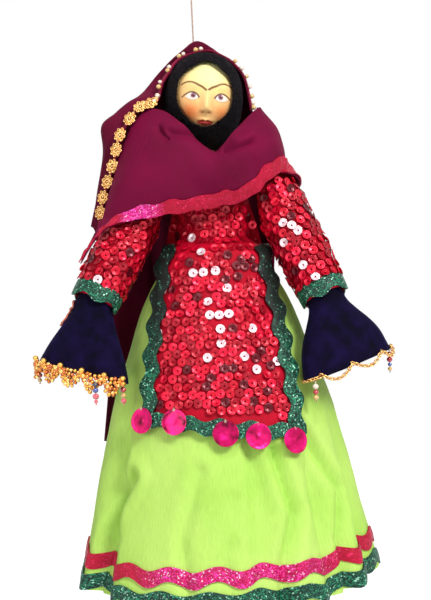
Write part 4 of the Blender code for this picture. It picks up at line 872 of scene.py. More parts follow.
STUFFED = (
    ("upper_body", "doll", 0.0005, 0.8), ("lower_body", "doll", 0.0005, 0.8),
    ("right_arm", "right_arm", 0.0, 0.7), ("left_arm", "left_arm", 0.0, 0.7),
    ("right_hand", "right_bell", 0.0, 0.7), ("left_hand", "left_bell", 0.0, 0.7),
    ("lower_right_arm", "lower_right_arm", 0.0003, 0.7), ("lower_left_arm", "lower_left_arm", 0.0003, 0.7),
)
for node, body, dents, fill in STUFFED:
    stuffed = softened("stuffed_" + node, node, 2, dents)
    settle(stuffed, body, calico_finish, [node])
wood_look = Finish("wood_look", Roughness=0.6)
rings = wood_look.noise(wood_look.stretch(wood_look.place(), (1.0, 1.0, 0.08)), 0.0012, 4)
wood_finish = wood_look.wear(
    Base_Color=wood_look.ramp(rings, (0.3, colour(176, 130, 84)), (0.7, colour(222, 184, 136))),
    Normal=wood_look.bump(rings, 0.00008),
)
for node in ("neck_peg", "lower_neck_peg"):
    pegs = frame["nodes"][node]
    pegs.data.materials.clear()
    pegs.data.materials.append(wood_finish)
print("stuffed parts:", len(STUFFED))

# %% [markdown]
# ## Cloth finishes
# A woven cloth shows its threads only close up, but they decide how it takes light: bumps spread the highlight, and
# sheen stands for the fuzz at grazing angles. One helper makes them all, with the thread's size, the two colours
# that a dyed cloth drifts between, and how shiny it is. Glitter is cells, each with its own brightness painted into
# its colour, for flakes that lie at their own angles; the brightest few are painted glints.

# %% Woven, velvet and glitter finishes


def woven(name, dark, light, thread, roughness=0.8, sheen=0.3, tint=(1.0, 1.0, 1.0), drift=0.018, coat=0.0):
    look = Finish(name, Sheen_Weight=sheen, Sheen_Roughness=0.4, Coat_Weight=coat, Specular_IOR_Level=0.12)
    look.put(look.shader.inputs["Sheen Tint"], (*tint, 1.0))
    flat = look.flat()
    place = look.place()
    height = look.weave(flat, thread)
    slub = look.noise(look.stretch(flat, (1.0, 0.12, 1.0)), thread * 1.6, 3)
    dyed = look.ramp(look.noise(place, drift, 4), (0.32, dark), (0.68, light))
    threads = look.ramp(height, (0.15, 0.72), (0.7, 1.0))
    return look.wear(
        Base_Color=look.blend(
            0.55, look.blend(1.0, dyed, threads, "MULTIPLY"),
            look.blend(1.0, dyed, look.ramp(slub, (0.3, 0.8), (0.7, 1.0)), "MULTIPLY")
        ),
        Roughness=look.ramp(slub, (0.3, max(0.05, roughness - 0.1)), (0.7, roughness)),
        Normal=look.bump(slub, thread * 0.12, look.bump(height, thread * 0.3)),
    )


def glittered(name, shades, others=None, axis=0, between=(), flake=0.0007):
    """Flakes of glitter in three shades and a painted glint. Between two places along an axis, other shades may take
    over.
    """
    look = Finish(name, Metallic=0.15, Specular_IOR_Level=0.3)
    flat = look.flat()
    place = look.place()
    flakes = look.cells(flat, flake)
    luck = look.parts(flakes, 0)
    drift = look.noise(place, 0.009, 3)

    def flaked(dark, middle, bright, painted_glint):
        # The last stop is a painted glint in a few flakes.
        base = look.ramp(luck, (0.0, dark), (0.5, middle), (0.85, bright), (0.95, bright), (0.96, painted_glint))
        return look.blend(look.ramp(drift, (0.4, 0.0), (0.7, 0.55)), base, dark)

    base = flaked(*shades)
    if others:
        at = look.math(
            "MULTIPLY", look.math("SUBTRACT", look.parts(place, axis), between[0]),
            1.0 / (between[3] - between[0])
        )
        stops = [(stop - between[0]) / (between[3] - between[0]) for stop in between]
        share = look.ramp(at, *zip(stops, (0.0, 1.0, 1.0, 0.0)))
        base = look.blend(share, base, flaked(*others))
    return look.wear(
        Base_Color=base,
        Roughness=look.ramp(look.parts(flakes, 1), (0.1, 0.28), (0.9, 0.6)),
        Normal=look.bump(luck, 0.0003, look.bump(look.noise(flat, flake * 0.6, 2), 0.0002)),
    )


lime_finish = woven(
    "lime_satin", colour(184, 232, 100), colour(206, 244, 122), 0.0006, 0.6, 0.08, colour(240, 255, 200), 0.05
)
lining_finish = woven("lining_look", colour(28, 18, 66), colour(48, 34, 92), 0.0006, 0.75, 0.3)
bodice_finish = woven("bodice_look", colour(40, 22, 80), colour(60, 34, 104), 0.0006, 0.75, 0.3)
tape_finish = woven("tape_look", colour(110, 14, 50), colour(140, 24, 64), 0.0008, 0.8, 0.3)
wine_finish = woven(
    "wine_wool", colour(104, 2, 46), colour(122, 3, 56), 0.0007, 0.75, 0.10, colour(220, 40, 120), 0.03
)
veil_finish = woven(
    "veil_georgette", colour(92, 3, 38), colour(112, 6, 48), 0.0005, 0.7, 0.12, colour(220, 50, 120), 0.03
)
scarf_finish = woven(
    "scarf_look", colour(96, 6, 40), colour(136, 14, 58), 0.0007, 0.75, 0.4, colour(236, 110, 160)
)
red_cloth = woven("red_net", colour(176, 2, 32), colour(206, 4, 42), 0.0009, 0.55, 0.05, colour(255, 40, 80))
coral_finish = woven(
    "coral_satin", colour(196, 92, 74), colour(232, 134, 108), 0.0005, 0.5, 0.2, (1.0, 0.8, 0.7)
)
edge_finish = woven(
    "edge_tape_look", colour(120, 8, 44), colour(176, 40, 76), 0.0005, 0.5, 0.1, (1.0, 0.5, 0.6), 0.008
)
# Each set of glitter shades ends with the colour of a painted glint.
HEM_GLITTER = (colour(150, 0, 50), colour(214, 8, 96), colour(246, 70, 176), colour(255, 226, 236))
PLAIN_RED = (colour(160, 0, 38), colour(184, 2, 50), colour(200, 5, 60), colour(232, 44, 104))
SHAWL_GLITTER = (colour(160, 0, 70), colour(226, 20, 130), colour(255, 90, 200), colour(255, 232, 244))
GREENS = (colour(3, 22, 19), colour(8, 58, 44), colour(40, 140, 102), colour(176, 236, 206))
PAINTED_SHADE_GREENS = (colour(2, 8, 7), colour(4, 18, 14), colour(10, 44, 33), colour(90, 150, 122))
red_glitter = glittered("red_glitter_look", PLAIN_RED, HEM_GLITTER, 0, (-0.055, -0.035, 0.055, 0.085))
shawl_glitter = glittered("shawl_glitter_look", PLAIN_RED, SHAWL_GLITTER, 0, (-0.056, -0.050, -0.034, -0.024))
green_glitter = glittered("green_glitter_look", GREENS)
# Above about z -0.26 the braid takes darker greens: painted shade on its upper sides, beside the arms.
tunic_glitter_top_shaded = glittered("tunic_glitter_painted_shade_look", GREENS, PAINTED_SHADE_GREENS, 2, (-0.290, -0.255, 1.0, 2.0))

velvet_look = Finish(
    "velvet_look", Roughness=0.9, Specular_IOR_Level=0.08, Sheen_Weight=0.25, Sheen_Roughness=0.3
)
velvet_look.put(velvet_look.shader.inputs["Sheen Tint"], (*colour(90, 76, 170), 1.0))
velvet_place = velvet_look.place()
nap = velvet_look.noise(velvet_place, 0.009, 4)
pile = velvet_look.noise(velvet_place, 0.0005, 2)
velvet_finish = velvet_look.wear(
    Base_Color=velvet_look.ramp(nap, (0.35, colour(7, 4, 22)), (0.7, colour(20, 11, 50))),
    Normal=velvet_look.bump(pile, 0.00025, velvet_look.bump(nap, 0.0012)),
)
print("finishes:", len(bpy.data.materials))

# %% [markdown]
# ## The skirt
# The skirt is a wide ring of lime satin gathered to the waist seam, so that it falls in soft valleys which deepen
# towards the hem. It is modelled as its outline at each height, less the valleys, as a share of the turn round it.
# A cloth simulation would find its own folds, but not the ones that the photograph shows, so the rule places them.

# %% The body's and the skirt's outlines
CLOTH = 0.0008
BODY_TOP_Z = -0.1435
WAIST_Z = -0.2125
BODY_LENGTH = BODY_TOP_Z - WAIST_Z
BODY_HALF = (0.0245, 0.0175)
BODY_ROWS = (
    (0.0, 0.80), (0.12, 0.82), (0.35, 0.88), (0.60, 0.97), (0.78, 1.0), (0.90, 0.86), (0.97, 0.60),
    (1.0, 0.46)
)
SKIRT_LENGTH = 0.232
SKIRT_HALF = (0.105, 0.078)
GATHERED_HALF = (0.0219, 0.0165)
SKIRT_ROWS = (
    (0.0, 0.255), (0.05, 0.36), (0.138, 0.476), (0.30, 0.61), (0.42, 0.712), (0.60, 0.81), (0.82, 0.91),
    (1.0, 1.0)
)
SATIN = 0.0009
FOLD_DEPTH = 0.0105
FLAT_RADIUS = 0.085
# Valleys: the turn from the front, its half width, its depth as a share, and where down the skirt it starts.
VALLEYS = (
    (
        -0.152, 0.022, 1.25, 0.28
    ), (0.036, 0.022, 0.50, 0.30), (0.116, 0.020, 0.62, 0.25), (0.190, 0.022, 0.75, 0.35),
    (
        0.275, 0.024, 0.55, 0.20
    ), (0.362, 0.026, 0.80, 0.30), (0.455, 0.026, 0.70, 0.25), (0.548, 0.026, 0.80, 0.30),
    (0.640, 0.026, 0.70, 0.25), (0.745, 0.024, 0.55, 0.20),
)
# Creases that curve across the skirt: places as (turn, share of the length), and the depth in metres.
CREASES = (
    (((0.066, 0.574), (0.082, 0.754), (0.061, 0.90), (0.058, 1.0)), 0.0060),
    (((0.114, 0.511), (0.162, 0.713), (0.1446, 0.858), (0.142, 1.0)), 0.0056),
    (((-0.1236, 0.6375), (-0.169, 0.817), (-0.180, 1.0)), 0.0056),
    (
        ((-0.03, 0.62), (-0.052, 0.80), (-0.040, 1.0)), 0.0018
    ), (((0.012, 0.70), (-0.004, 0.86), (0.004, 1.0)), 0.0014),
)


def body_half(z):
    """The stuffed body's half width and half depth at this height."""
    share = spline(BODY_ROWS, (z - WAIST_Z) / BODY_LENGTH)
    return BODY_HALF[0] * share, BODY_HALF[1] * share


def skirt_half(z):
    """The skirt's half width and half depth at this height, before its folds."""
    t = (WAIST_Z - z) / SKIRT_LENGTH
    share = spline(SKIRT_ROWS, t)
    waist = 1 - smooth_step(t / 0.05)
    return tuple(
        full * share * (1 - waist) + gathered * waist for full, gathered in zip(SKIRT_HALF, GATHERED_HALF)
    )


def near_line(point, line):
    """How far a flat point is from a line of points."""
    best = 9.0
    for a, b in zip(line, line[1:]):
        run = b - a
        f = min(1.0, max(0.0, (point - a).dot(run) / run.length_squared))
        best = min(best, (point - a - run * f).length)
    return best


def on_flat_skirt(turn, t):
    """A place on the skirt as if it were rolled out flat, in metres."""
    return Vector((turn * 2 * pi * FLAT_RADIUS, t * SKIRT_LENGTH))


CREASE_LINES = [([on_flat_skirt(*place) for place in places], depth) for places, depth in CREASES]


def skirt_fold(turn, t):
    """How far in the satin lies here, from its valleys, creases, gathers and small waves."""
    turn = (turn + 0.5) % 1.0 - 0.5
    depth = 0.0
    for where, half, share, start in VALLEYS:
        off = (turn - where + 0.5) % 1.0 - 0.5
        steep = half * (0.50 if (off > 0) == (where < 0) else 1.15)
        depth += FOLD_DEPTH * share * bell_curve(off, steep) * smooth_step((t - start) / 0.45)
    here = on_flat_skirt(turn, t)
    for line, deep in CREASE_LINES:
        near = near_line(here, line)
        if near < 0.02:
            depth += deep * (bell_curve(near, 0.0040) - 0.35 * bell_curve(near - 0.009, 0.005))
    gathers = 1 - smooth_step((t - 0.02) / 0.30)
    depth += 0.0009 * gathers * smooth_step(t / 0.03) * (1 + sin(2 * pi * turn * 46 + 2 * sin(9 * turn)))
    around = Vector((cos(2 * pi * turn), sin(2 * pi * turn), t * 1.2))
    return depth + 0.0009 * smooth_step(t / 0.3) * noise.noise(around * 4.1) + 0.00025 * noise.noise(around * 17)


def side_lift(turn, t):
    """How far the skirt is lifted at its two sides, where it stands out most."""
    return 0.010 * sin(2 * pi * turn) ** 4 * smooth_step((t - 0.35) / 0.65)


def skirt_point(turn, t, out=0.0, smooth=False):
    """A point of the skirt, this far out of its middle. Smooth leaves the folds out, for what lies under it."""
    z = WAIST_Z - SKIRT_LENGTH * t
    half = skirt_half(z)
    angle = 2 * pi * turn
    fold = 0.0120 * smooth_step((t - 0.15) / 0.45) if smooth else skirt_fold(turn, min(t, 1.0))
    reach = out - SATIN / 2 - fold
    z += side_lift(turn, t)
    return Vector((AXIS_X + (half[0] + reach) * sin(angle), -(half[1] + reach) * cos(angle), z))


# %% The skirt, its lining and the waist tape
HEM_ROUND = 0.60
skirt = cloth(
    "satin_skirt", lambda u, v: skirt_point(u - 0.5, v), (300, 110), (HEM_ROUND, 0.24), SATIN, wrap=True
)
settle(skirt, "doll", lime_finish, ["skirt"])


def lining_point(u, v):
    if v < 0.02:
        start = skirt_point(u - 0.5, 0.0)
        start.z -= 0.005 + 0.1 * v
        return start
    pleat = 0.0011 * smooth_step((v - 0.2) / 0.5) * sin(2 * pi * 13 * u)
    return skirt_point(
        u - 0.5, v - 0.017 * smooth_step((v - 0.9) / 0.1), -SATIN - 0.0026 + pleat, smooth=True
    )


lining = cloth("skirt_lining_cloth", lining_point, (160, 40), (0.52, 0.23), SATIN, wrap=True)
settle(lining, "doll", lining_finish, ["skirt_lining"])
waist_tape = cloth(
    "waist_tape",
    lambda u, v: Vector((
        AXIS_X + (BODY_HALF[0] * spline(BODY_ROWS, 0.116 * abs(1 - 2 * v)) + 0.0008) * sin(2 * pi * u),
        -(BODY_HALF[1] * spline(BODY_ROWS, 0.116 * abs(1 - 2 * v)) + 0.0008) * cos(2 * pi * u),
        WAIST_Z + 0.016 * (0.5 - v),
    )),
    (72, 8), (0.11, 0.016), 0.001, wrap=True,
)
settle(waist_tape, "doll", tape_finish, ["waist_band"])

# %% [markdown]
# Two wavy ribbons run round the skirt: one of red and pink glitter, and a dark green one along the hem. They are
# bought ric-rac, 10 mm wide, sewn flat on the satin, so each follows the skirt's own rule a little further out.

# %% The skirt's ribbons
WAVES = 20


def hoop(name, node, middle, width, wave, phase, finish):
    """A wavy ribbon sewn round the skirt, at this share of its length."""
    def place(u, v):
        along = sin(2 * pi * WAVES * u + phase)
        t = middle + (width * (v - 0.5) * (1 + 0.08 * along) + wave * along) / SKIRT_LENGTH
        crown = 0.0004 * (1 - (2 * v - 1) ** 2)
        point = skirt_point(u - 0.5, min(t, 1.0), SATIN / 2 + CLOTH / 2 + 0.0005 + crown)
        point.z = WAIST_Z - SKIRT_LENGTH * t + side_lift(u - 0.5, t)
        return point

    made = cloth(name, place, (640, 6), (0.58, width), CLOTH, wrap=True)
    settle(made, "doll", finish, [node])
    return made


hoop("red_hoop_ribbon", "skirt_ribbon", 0.905, 0.0100, 0.0022, 0.0, red_glitter)
hem_middle = 1.0 - (0.005 + 0.0020) / SKIRT_LENGTH
hoop("green_hem_ribbon", "skirt_hem_trim", hem_middle, 0.0100, 0.0020, pi / 3, green_glitter)
print("skirt:", len(skirt.data.polygons), "faces")

# %% [markdown]
# ## The tunic
# Over the skirt hangs a tunic of net covered in cup sequins: a front and a back panel that widen to the hem, edged
# with wavy green glitter. The panels hang on the outline of what is under them. Each sequin is the same thin cup
# with a hole, copied to a place and a slight tilt of its own. Most are red; some are given a dark tone, painted shade
# for sequins turned away from the light, and a few a near-white one, a painted highlight.

# %% The tunic's form
TUNIC_LENGTH = 0.116
TUNIC_TOP_Z = BODY_TOP_Z - 0.009
TUNIC_HALF = {-1: 0.0515, 1: 0.046}
TUNIC_EDGES = ((0.0, 0.42), (0.10, 0.46), (0.22, 0.58), (0.36, 0.68), (0.55, 0.80), (0.80, 0.93), (1.0, 1.0))
STANDOFF = 0.012
SHOULDER_Z = pivots["right_shoulder"].z


def tunic_half(z):
    """The half width and half depth of what the tunic hangs on: the body, and the skirt below the waist."""
    near = smooth_step((z - WAIST_Z + 3 * STANDOFF) / (3 * STANDOFF))
    body = body_half(max(WAIST_Z, z))
    skirt_size = skirt_half(min(WAIST_Z, z - STANDOFF * near))
    flare = smooth_step((SHOULDER_Z - z) / (SHOULDER_Z - WAIST_Z))
    return tuple(b + 0.0016 + CLOTH + (max(s, b) - b) * flare for b, s in zip(body, skirt_size))


def tunic_bottom_z(across):
    return WAIST_Z - TUNIC_LENGTH - 0.006 * across


def tunic_edge(z, facing):
    """How far a panel reaches to each side at this height. Facing is -1 for the front one."""
    t = (TUNIC_TOP_Z - z) / (TUNIC_TOP_Z - tunic_bottom_z(0))
    return TUNIC_HALF[facing] * spline(TUNIC_EDGES, min(1.0, max(0.0, t)))


def tunic_point(x, z, facing, lift=0.0):
    """A point of the hanging panel, from its place on the flat one."""
    half = tunic_half(z)
    ripple = 0.0006 * noise.noise(Vector((x * 60, z * 30, facing * 3.0)))
    wide = half[0] + lift + ripple
    share = min(0.985, abs(x) / wide)
    return Vector((AXIS_X + x, facing * (half[1] + lift + ripple) * sqrt(1 - share * share), z))


def panel_flat(facing, u, v):
    """A place on the flat panel. Its columns crowd towards the sides, where the panel turns away."""
    across = sin((2 * u - 1) * 1.445) / sin(1.445)
    z = TUNIC_TOP_Z + (tunic_bottom_z(across) - TUNIC_TOP_Z) * v
    return Vector((tunic_edge(z, facing) * across, z))


def panel_point(facing, u, v):
    flat = panel_flat(facing, u, v)
    return tunic_point(flat.x, flat.y, facing, CLOTH / 2)


PANELS = {-1: "front", 1: "back"}
for facing, word in PANELS.items():
    wide = 2 * TUNIC_HALF[facing] * 1.06
    panel = cloth(f"tunic_{word}_net", lambda u, v: panel_point(facing, u, v), (48, 60), (wide, 0.178), CLOTH)
    settle(panel, "doll", red_cloth, ["tunic_" + word])

# %% One cup sequin, and where the sequins go
SEQUIN = 0.0064
SEQUIN_PITCH = 0.0061
CLOSEST = SEQUIN_PITCH * 0.68


def sequin_pattern():
    """A thin cup with a hole, flat on its back, one unit across."""
    made = bmesh.new()
    under = ((0.10, 0.012), (0.22, 0.012), (0.42, 0.055), (0.50, 0.110))
    over = ((0.50, 0.135), (0.40, 0.085), (0.21, 0.045), (0.10, 0.045))
    spun_into(made, under + over, 10, 1e-4, closed=True)
    return made


sequin_look = Finish(
    "sequin_look", Metallic=0.35, Specular_IOR_Level=0.3, Coat_Weight=0.12, Coat_Roughness=0.2
)
foil = sequin_look.noise(sequin_look.place(), 0.0009, 2)
sequin_finish = sequin_look.wear(
    Base_Color=sequin_look.blend(
        0.25, sequin_look.tone(), sequin_look.ramp(foil, (0.3, 0.35), (0.7, 1.0)), "MULTIPLY"
    ),
    Roughness=sequin_look.ramp(foil, (0.3, 0.16), (0.7, 0.34)),
    Normal=sequin_look.bump(foil, 0.00012),
)
REDS = (colour(206, 2, 40), colour(186, 2, 36), colour(222, 5, 48), colour(170, 0, 32), colour(232, 10, 56))
# The dark tone is painted shade, and the near-white one is a painted highlight.
PAINTED_SHADE_TONE = colour(96, 0, 20)
PAINTED_HIGHLIGHT_TONE = colour(248, 214, 222)


class Sequins:
    """Collects the places and tones of sequins, and leaves out any that would lie too close to another."""

    def __init__(self):
        self.places = []
        self.tones = []
        self.taken = []

    def add(self, key, point, normal, tone, tilt=10.0):
        if any((key - other).length < CLOSEST for other in self.taken):
            return
        self.taken.append(key)
        lean_x, lean_y = (Matrix.Rotation(radians(rng.normal(0, tilt)), 4, axis) for axis in "XY")
        rise = SEQUIN * 0.5 * sin(radians(tilt)) * 0.8
        self.places.append(
            frame_on(point + normal * rise, normal) @ (lean_x @ lean_y) @ Matrix.Scale(SEQUIN, 4)
        )
        self.tones.append(tone)


def red_or_shaded_tone():
    """The tone of one sequin: mostly a red, and now and then a dark one, painted shade for a sequin turned away."""
    return PAINTED_SHADE_TONE if rng.uniform() < 0.10 else REDS[rng.integers(len(REDS))]


def surface_normal(rule, a, b, step, outwards):
    """Which way a surface faces at a place, from the points of its rule one step away."""
    across = rule(a + step, b) - rule(a - step, b)
    down = rule(a, b + step) - rule(a, b - step)
    normal = across.cross(down).normalized()
    return normal if normal.dot(outwards) > 0 else -normal


# Sequins with a painted highlight, and ones with painted shade, by their places in the photograph.
HIGHLIGHT_SEQUINS = (
    (163.9, 290.5), (161, 303.4), (160.3, 317.7), (158.8, 332.8), (192.3, 238.1), (201.2, 252.5),
    (193.3, 273.3), (203.6, 272.5), (215.5, 271.1), (227, 288.3), (207.9, 302), (209.8, 315.3), (219.1, 315.3),
    (228.7, 314.1), (220.3, 329.2), (221.3, 343.6), (252.1, 328.5), (207.6, 357.9), (244.2, 356.5),
    (256.4, 369.4),
    (276.5, 361.5),
)
SHADED_SEQUINS = (
    (178.2, 236), (189.7, 262.5), (241, 259.6), (250.7, 258.9), (236.3, 266.1), (244.9, 266.8), (254.3, 267.5),
    (237.8, 276.8), (163.9, 277.6), (172.5, 290.5), (232.7, 328.5), (255.7, 357.9),
)


def on_tunic(x, z, facing, lift):
    """A place on the tunic and the way it faces."""
    normal = surface_normal(
        lambda a, b: tunic_point(a, b, facing, CLOTH), x, z, 0.001, Vector((0.0, facing, 0.0))
    )
    return tunic_point(x, z, facing, lift), normal


for facing, word in PANELS.items():
    sewn = Sequins()
    if facing < 0:
        for places, tone in ((HIGHLIGHT_SEQUINS, PAINTED_HIGHLIGHT_TONE), (SHADED_SEQUINS, PAINTED_SHADE_TONE)):
            for across, down in places:
                seen = seen_at(across, down, -0.045)
                seen = seen_at(across, down, tunic_point(seen.x - AXIS_X, seen.z, -1).y)
                x = seen.x - AXIS_X
                point, normal = on_tunic(x, seen.z, -1, CLOTH * 1.5)
                sewn.add(Vector((x, seen.z)), point, normal, tone, 6)
    row = 0
    z = TUNIC_TOP_Z - 0.004
    while z > tunic_bottom_z(0) + 0.002:
        beside_trim = z < TUNIC_TOP_Z - 0.32 * (TUNIC_TOP_Z - tunic_bottom_z(0))
        edge_x = tunic_edge(z, facing) - (0.0075 if beside_trim else 0.003)
        x = -SEQUIN_PITCH * (int(edge_x / SEQUIN_PITCH) + (row % 2) / 2)
        while x < edge_x:
            key = Vector((x + rng.normal(0, 0.00035), z + rng.normal(0, 0.00035)))
            if abs(x) < edge_x and key.y > tunic_bottom_z(x / TUNIC_HALF[facing]) + 0.0100:
                point, normal = on_tunic(key.x, key.y, facing, CLOTH * 1.5)
                sewn.add(key, point, normal, red_or_shaded_tone())
            x += SEQUIN_PITCH
        z -= SEQUIN_PITCH * 0.88
        row += 1
    made = scattered(f"tunic_{word}_sequins", sequin_pattern(), sewn.places, sewn.tones)
    settle(made, "doll", sequin_finish)
    print(made.name, len(sewn.places), "sequins,", len(made.data.polygons), "faces")

# %% [markdown]
# ## The tunic's trims
# The green glitter braid runs down one side, along the hem and up the other in one strip, mitred at the corners. Its
# middle line is worked out on the flat panel, where a corner is easy, and each point is then put on the hanging one.

# %% The tunic's trims
TRIM_WIDTH = 0.0092
TRIM_WAVE = 0.020
TRIM_SWING = 0.0016
TRIM_STARTS = 0.32
SIDE_STEPS = 40
HEM_STEPS = 48
for facing, word in PANELS.items():
    inset = Vector((TRIM_WIDTH * 0.28, 0.0))
    sides = [TRIM_STARTS + 0.68 * i / SIDE_STEPS for i in range(SIDE_STEPS)]
    path = [panel_flat(facing, 0.0, v) + inset for v in sides]
    low = [panel_flat(facing, 0.0, 1.0) + inset, panel_flat(facing, 1.0, 1.0) - inset]
    path += [low[0].lerp(low[1], i / HEM_STEPS) for i in range(HEM_STEPS + 1)]
    path += [panel_flat(facing, 1.0, v) - inset for v in sides[::-1]]
    runs = lengths_along(path)

    def trim_point(u, v):
        last = len(path) - 1
        at = min(u * last, last - 1e-6)
        i = int(at)
        here = path[i].lerp(path[i + 1], at - i)
        ahead = path[min(i + 2, last)] - path[min(i + 1, last - 1)]
        behind = path[i] - path[max(i - 1, 0)] if i else ahead
        along = (path[i + 1] - path[i]).normalized() + 0.5 * ahead.normalized() + 0.5 * behind.normalized()
        along.normalize()
        side = Vector((-along.y, along.x))
        run = runs[i] + (runs[i + 1] - runs[i]) * (at - i)
        wave = TRIM_SWING * sin(2 * pi * run / TRIM_WAVE)
        swell = 1 + 0.1 * cos(2 * pi * run / TRIM_WAVE)
        spread = here + side * ((v - 0.5) * TRIM_WIDTH * swell + wave)
        crown = 0.0004 * (1 - (2 * v - 1) ** 2)
        point, normal = on_tunic(spread.x, spread.y, facing, CLOTH)
        # It lies higher at the sides, where it passes over the sequins, than along the hem.
        on_hem = smooth_step((at - 36) / 6) * smooth_step((93 - at) / 6)
        return point + normal * (0.0021 - 0.0009 * on_hem + crown)

    strip = cloth(f"tunic_{word}_braid", trim_point, (300, 6), (runs[-1], TRIM_WIDTH), 0.0009)
    settle(strip, "doll", tunic_glitter_top_shaded, [f"tunic_{word}_trim"])
print("trims:", round(runs[-1] * 1000), "mm of braid on each panel")

# %% [markdown]
# ## The sleeves
# Each sleeve is a tube of the same sequinned net over a stuffed arm, and ends in a wavy green glitter cuff. It is made
# hanging straight down from the shoulder's pivot and then turned to its place, as the joint turns it.

# %% The sleeves and cuffs
ARM_LENGTH = (pivots["right_wrist"] - pivots["right_shoulder"]).length
ARM_OUT_DEG = {1: 20.8, -1: 26.4}
ARM_FORWARD_DEG = 19.0
# Left and right are the viewer's, as in the frame's names.
SIDES = {1: "right", -1: "left"}


def arm_place(side):
    """The matrix that turns a sleeve made hanging straight down to its place."""
    lean = Matrix.Rotation(-radians(ARM_FORWARD_DEG), 4, "X")
    out = Matrix.Rotation(-side * radians(ARM_OUT_DEG[side]), 4, "Y")
    return Matrix.Translation(pivots[SIDES[side] + "_shoulder"]) @ lean @ out


def sleeve_radius(t):
    full = 0.0105 + 0.0055 * smooth_step(t * 3.2)
    return full - 0.0010 * smooth_step((t - 0.72) / 0.28)


def sleeve_point(side, turn, t, out=0.0):
    """A point on a sleeve: the turn round it from +X, and the share of the way from shoulder to cuff."""
    angle = 2 * pi * turn
    flat = 1 - 0.2 * smooth_step((t - 0.5) * 2)
    top = 0.0080 * side * cos(angle) - 0.0035
    around = Vector((cos(angle) * 0.9, sin(angle) * 0.9, t * 5.5 + side * 4))
    wrinkle = 0.0010 * noise.noise(around) * smooth_step(t * 5) * smooth_step((1.0 - t) * 6)
    radius = sleeve_radius(t) + out + wrinkle
    down = top - (ARM_LENGTH + top) * t
    return arm_place(side) @ Vector((radius * cos(angle), radius * flat * sin(angle), down))


# Places of the photograph near which the sleeves' front-facing sequins get a painted highlight.
SLEEVE_HIGHLIGHT_SEQUINS = {
    1: ((287.3, 222.3), (318.1, 276.8), (299.5, 231.4), (284.7, 243.1), (303, 268.2)),
    -1: ((100.7, 278.3),),
}
SEQUIN_ROWS = 15
HIGHLIGHT_REACH = 0.0042
CUFF = 0.0105
for side, word in SIDES.items():
    sleeve = cloth(
        f"{word}_sleeve_net", lambda u, v: sleeve_point(side, u, v), (56, 40), (0.097, 0.094), CLOTH,
        wrap=True
    )
    settle(sleeve, f"{word}_arm", red_cloth, [f"{word}_sleeve"])
    sewn = Sequins()
    highlight_spots = [seen_at(*place, sleeve_point(side, 0.75, 0.5).y) for place in SLEEVE_HIGHLIGHT_SEQUINS[side]]
    for row in range(SEQUIN_ROWS):
        t = 0.05 + 0.83 * row / (SEQUIN_ROWS - 1)
        around = 2 * pi * sleeve_radius(t)
        count = int(around / SEQUIN_PITCH)
        for k in range(count):
            turn = (k + 0.5 * (row % 2)) / count + rng.normal(0, 0.004)
            point = sleeve_point(side, turn, t, CLOTH)
            axis = sleeve_point(side, turn, t, -0.008)
            normal = (point - axis).normalized()
            # Front-facing sequins near those places are given the painted highlight tone.
            near = any(Vector((point.x - f.x, point.z - f.z)).length < HIGHLIGHT_REACH for f in highlight_spots)
            painted_highlight_here = near and normal.y < 0
            sewn.add(Vector((turn * around, t * ARM_LENGTH)), point, normal, PAINTED_HIGHLIGHT_TONE if painted_highlight_here else red_or_shaded_tone())
    made = scattered(f"{word}_sleeve_sequins", sequin_pattern(), sewn.places, sewn.tones)
    settle(made, f"{word}_arm", sequin_finish)

    def cuff_point(u, v):
        angle = 2 * pi * u
        wave = 0.0013 * sin(5 * angle + side)
        t = 1 - CUFF / ARM_LENGTH * (1 - v)
        radius = sleeve_radius(t) + CLOTH * 1.6 + 0.0003 * (1 - (2 * v - 1) ** 2)
        down = -ARM_LENGTH * t - 0.0010 + wave * (0.5 + v)
        return arm_place(side) @ Vector((radius * cos(angle), radius * 0.81 * sin(angle), down))

    cuff = cloth(f"{word}_cuff_braid", cuff_point, (120, 6), (0.093, 0.0105), CLOTH, wrap=True)
    settle(cuff, f"{word}_arm", green_glitter, [f"{word}_cuff_trim"])
    print(word, "sleeve:", len(sewn.places), "sequins")

# %% [markdown]
# ## The velvet bells
# Below each cuff hangs a flat bell of navy velvet, from a narrow neck at the wrist to a wide mouth. Velvet has no
# clear highlight: its pile glows softly where it turns away, which is what sheen does. The mouth is bent a little,
# as soft cloth is.

# %% The bells
BELL_LENGTH = 0.046
BELL_DROP = 0.003
BELL_NECK_HALF = 0.0086
BELL_MOUTH_HALF = (0.0325, 0.0135)
COLLAR = 0.17
# Each bell's outline: the share of the way down, and how far it has opened from its neck to its mouth.
BELL_ROWS = {
    1: (
        (-0.17, 0.04), (-0.10, 0.13), (-0.03, 0.17), (0.04, 0.19), (0.12, 0.25), (0.25, 0.41), (0.45, 0.67),
        (0.70, 0.89), (0.88, 0.97), (1.0, 1.0),
    ),
    -1: (
        (-0.17, 0.04), (-0.10, 0.13), (-0.03, 0.17), (0.04, 0.19), (0.12, 0.24), (0.25, 0.35), (0.45, 0.55),
        (0.70, 0.80), (0.88, 0.93), (1.0, 1.0),
    ),
}
BELL_OUT_DEG = {1: 16.0, -1: 12.0}
VELVET = 0.0011


def bell_place(side):
    """The matrix that puts a bell made hanging straight down at its wrist."""
    outwards = Matrix.Rotation(-side * radians(BELL_OUT_DEG[side]), 4, "Y")
    return Matrix.Translation(
        pivots[SIDES[side] + "_wrist"]
    ) @ outwards @ Matrix.Rotation(side * radians(20.0), 4, "Z")


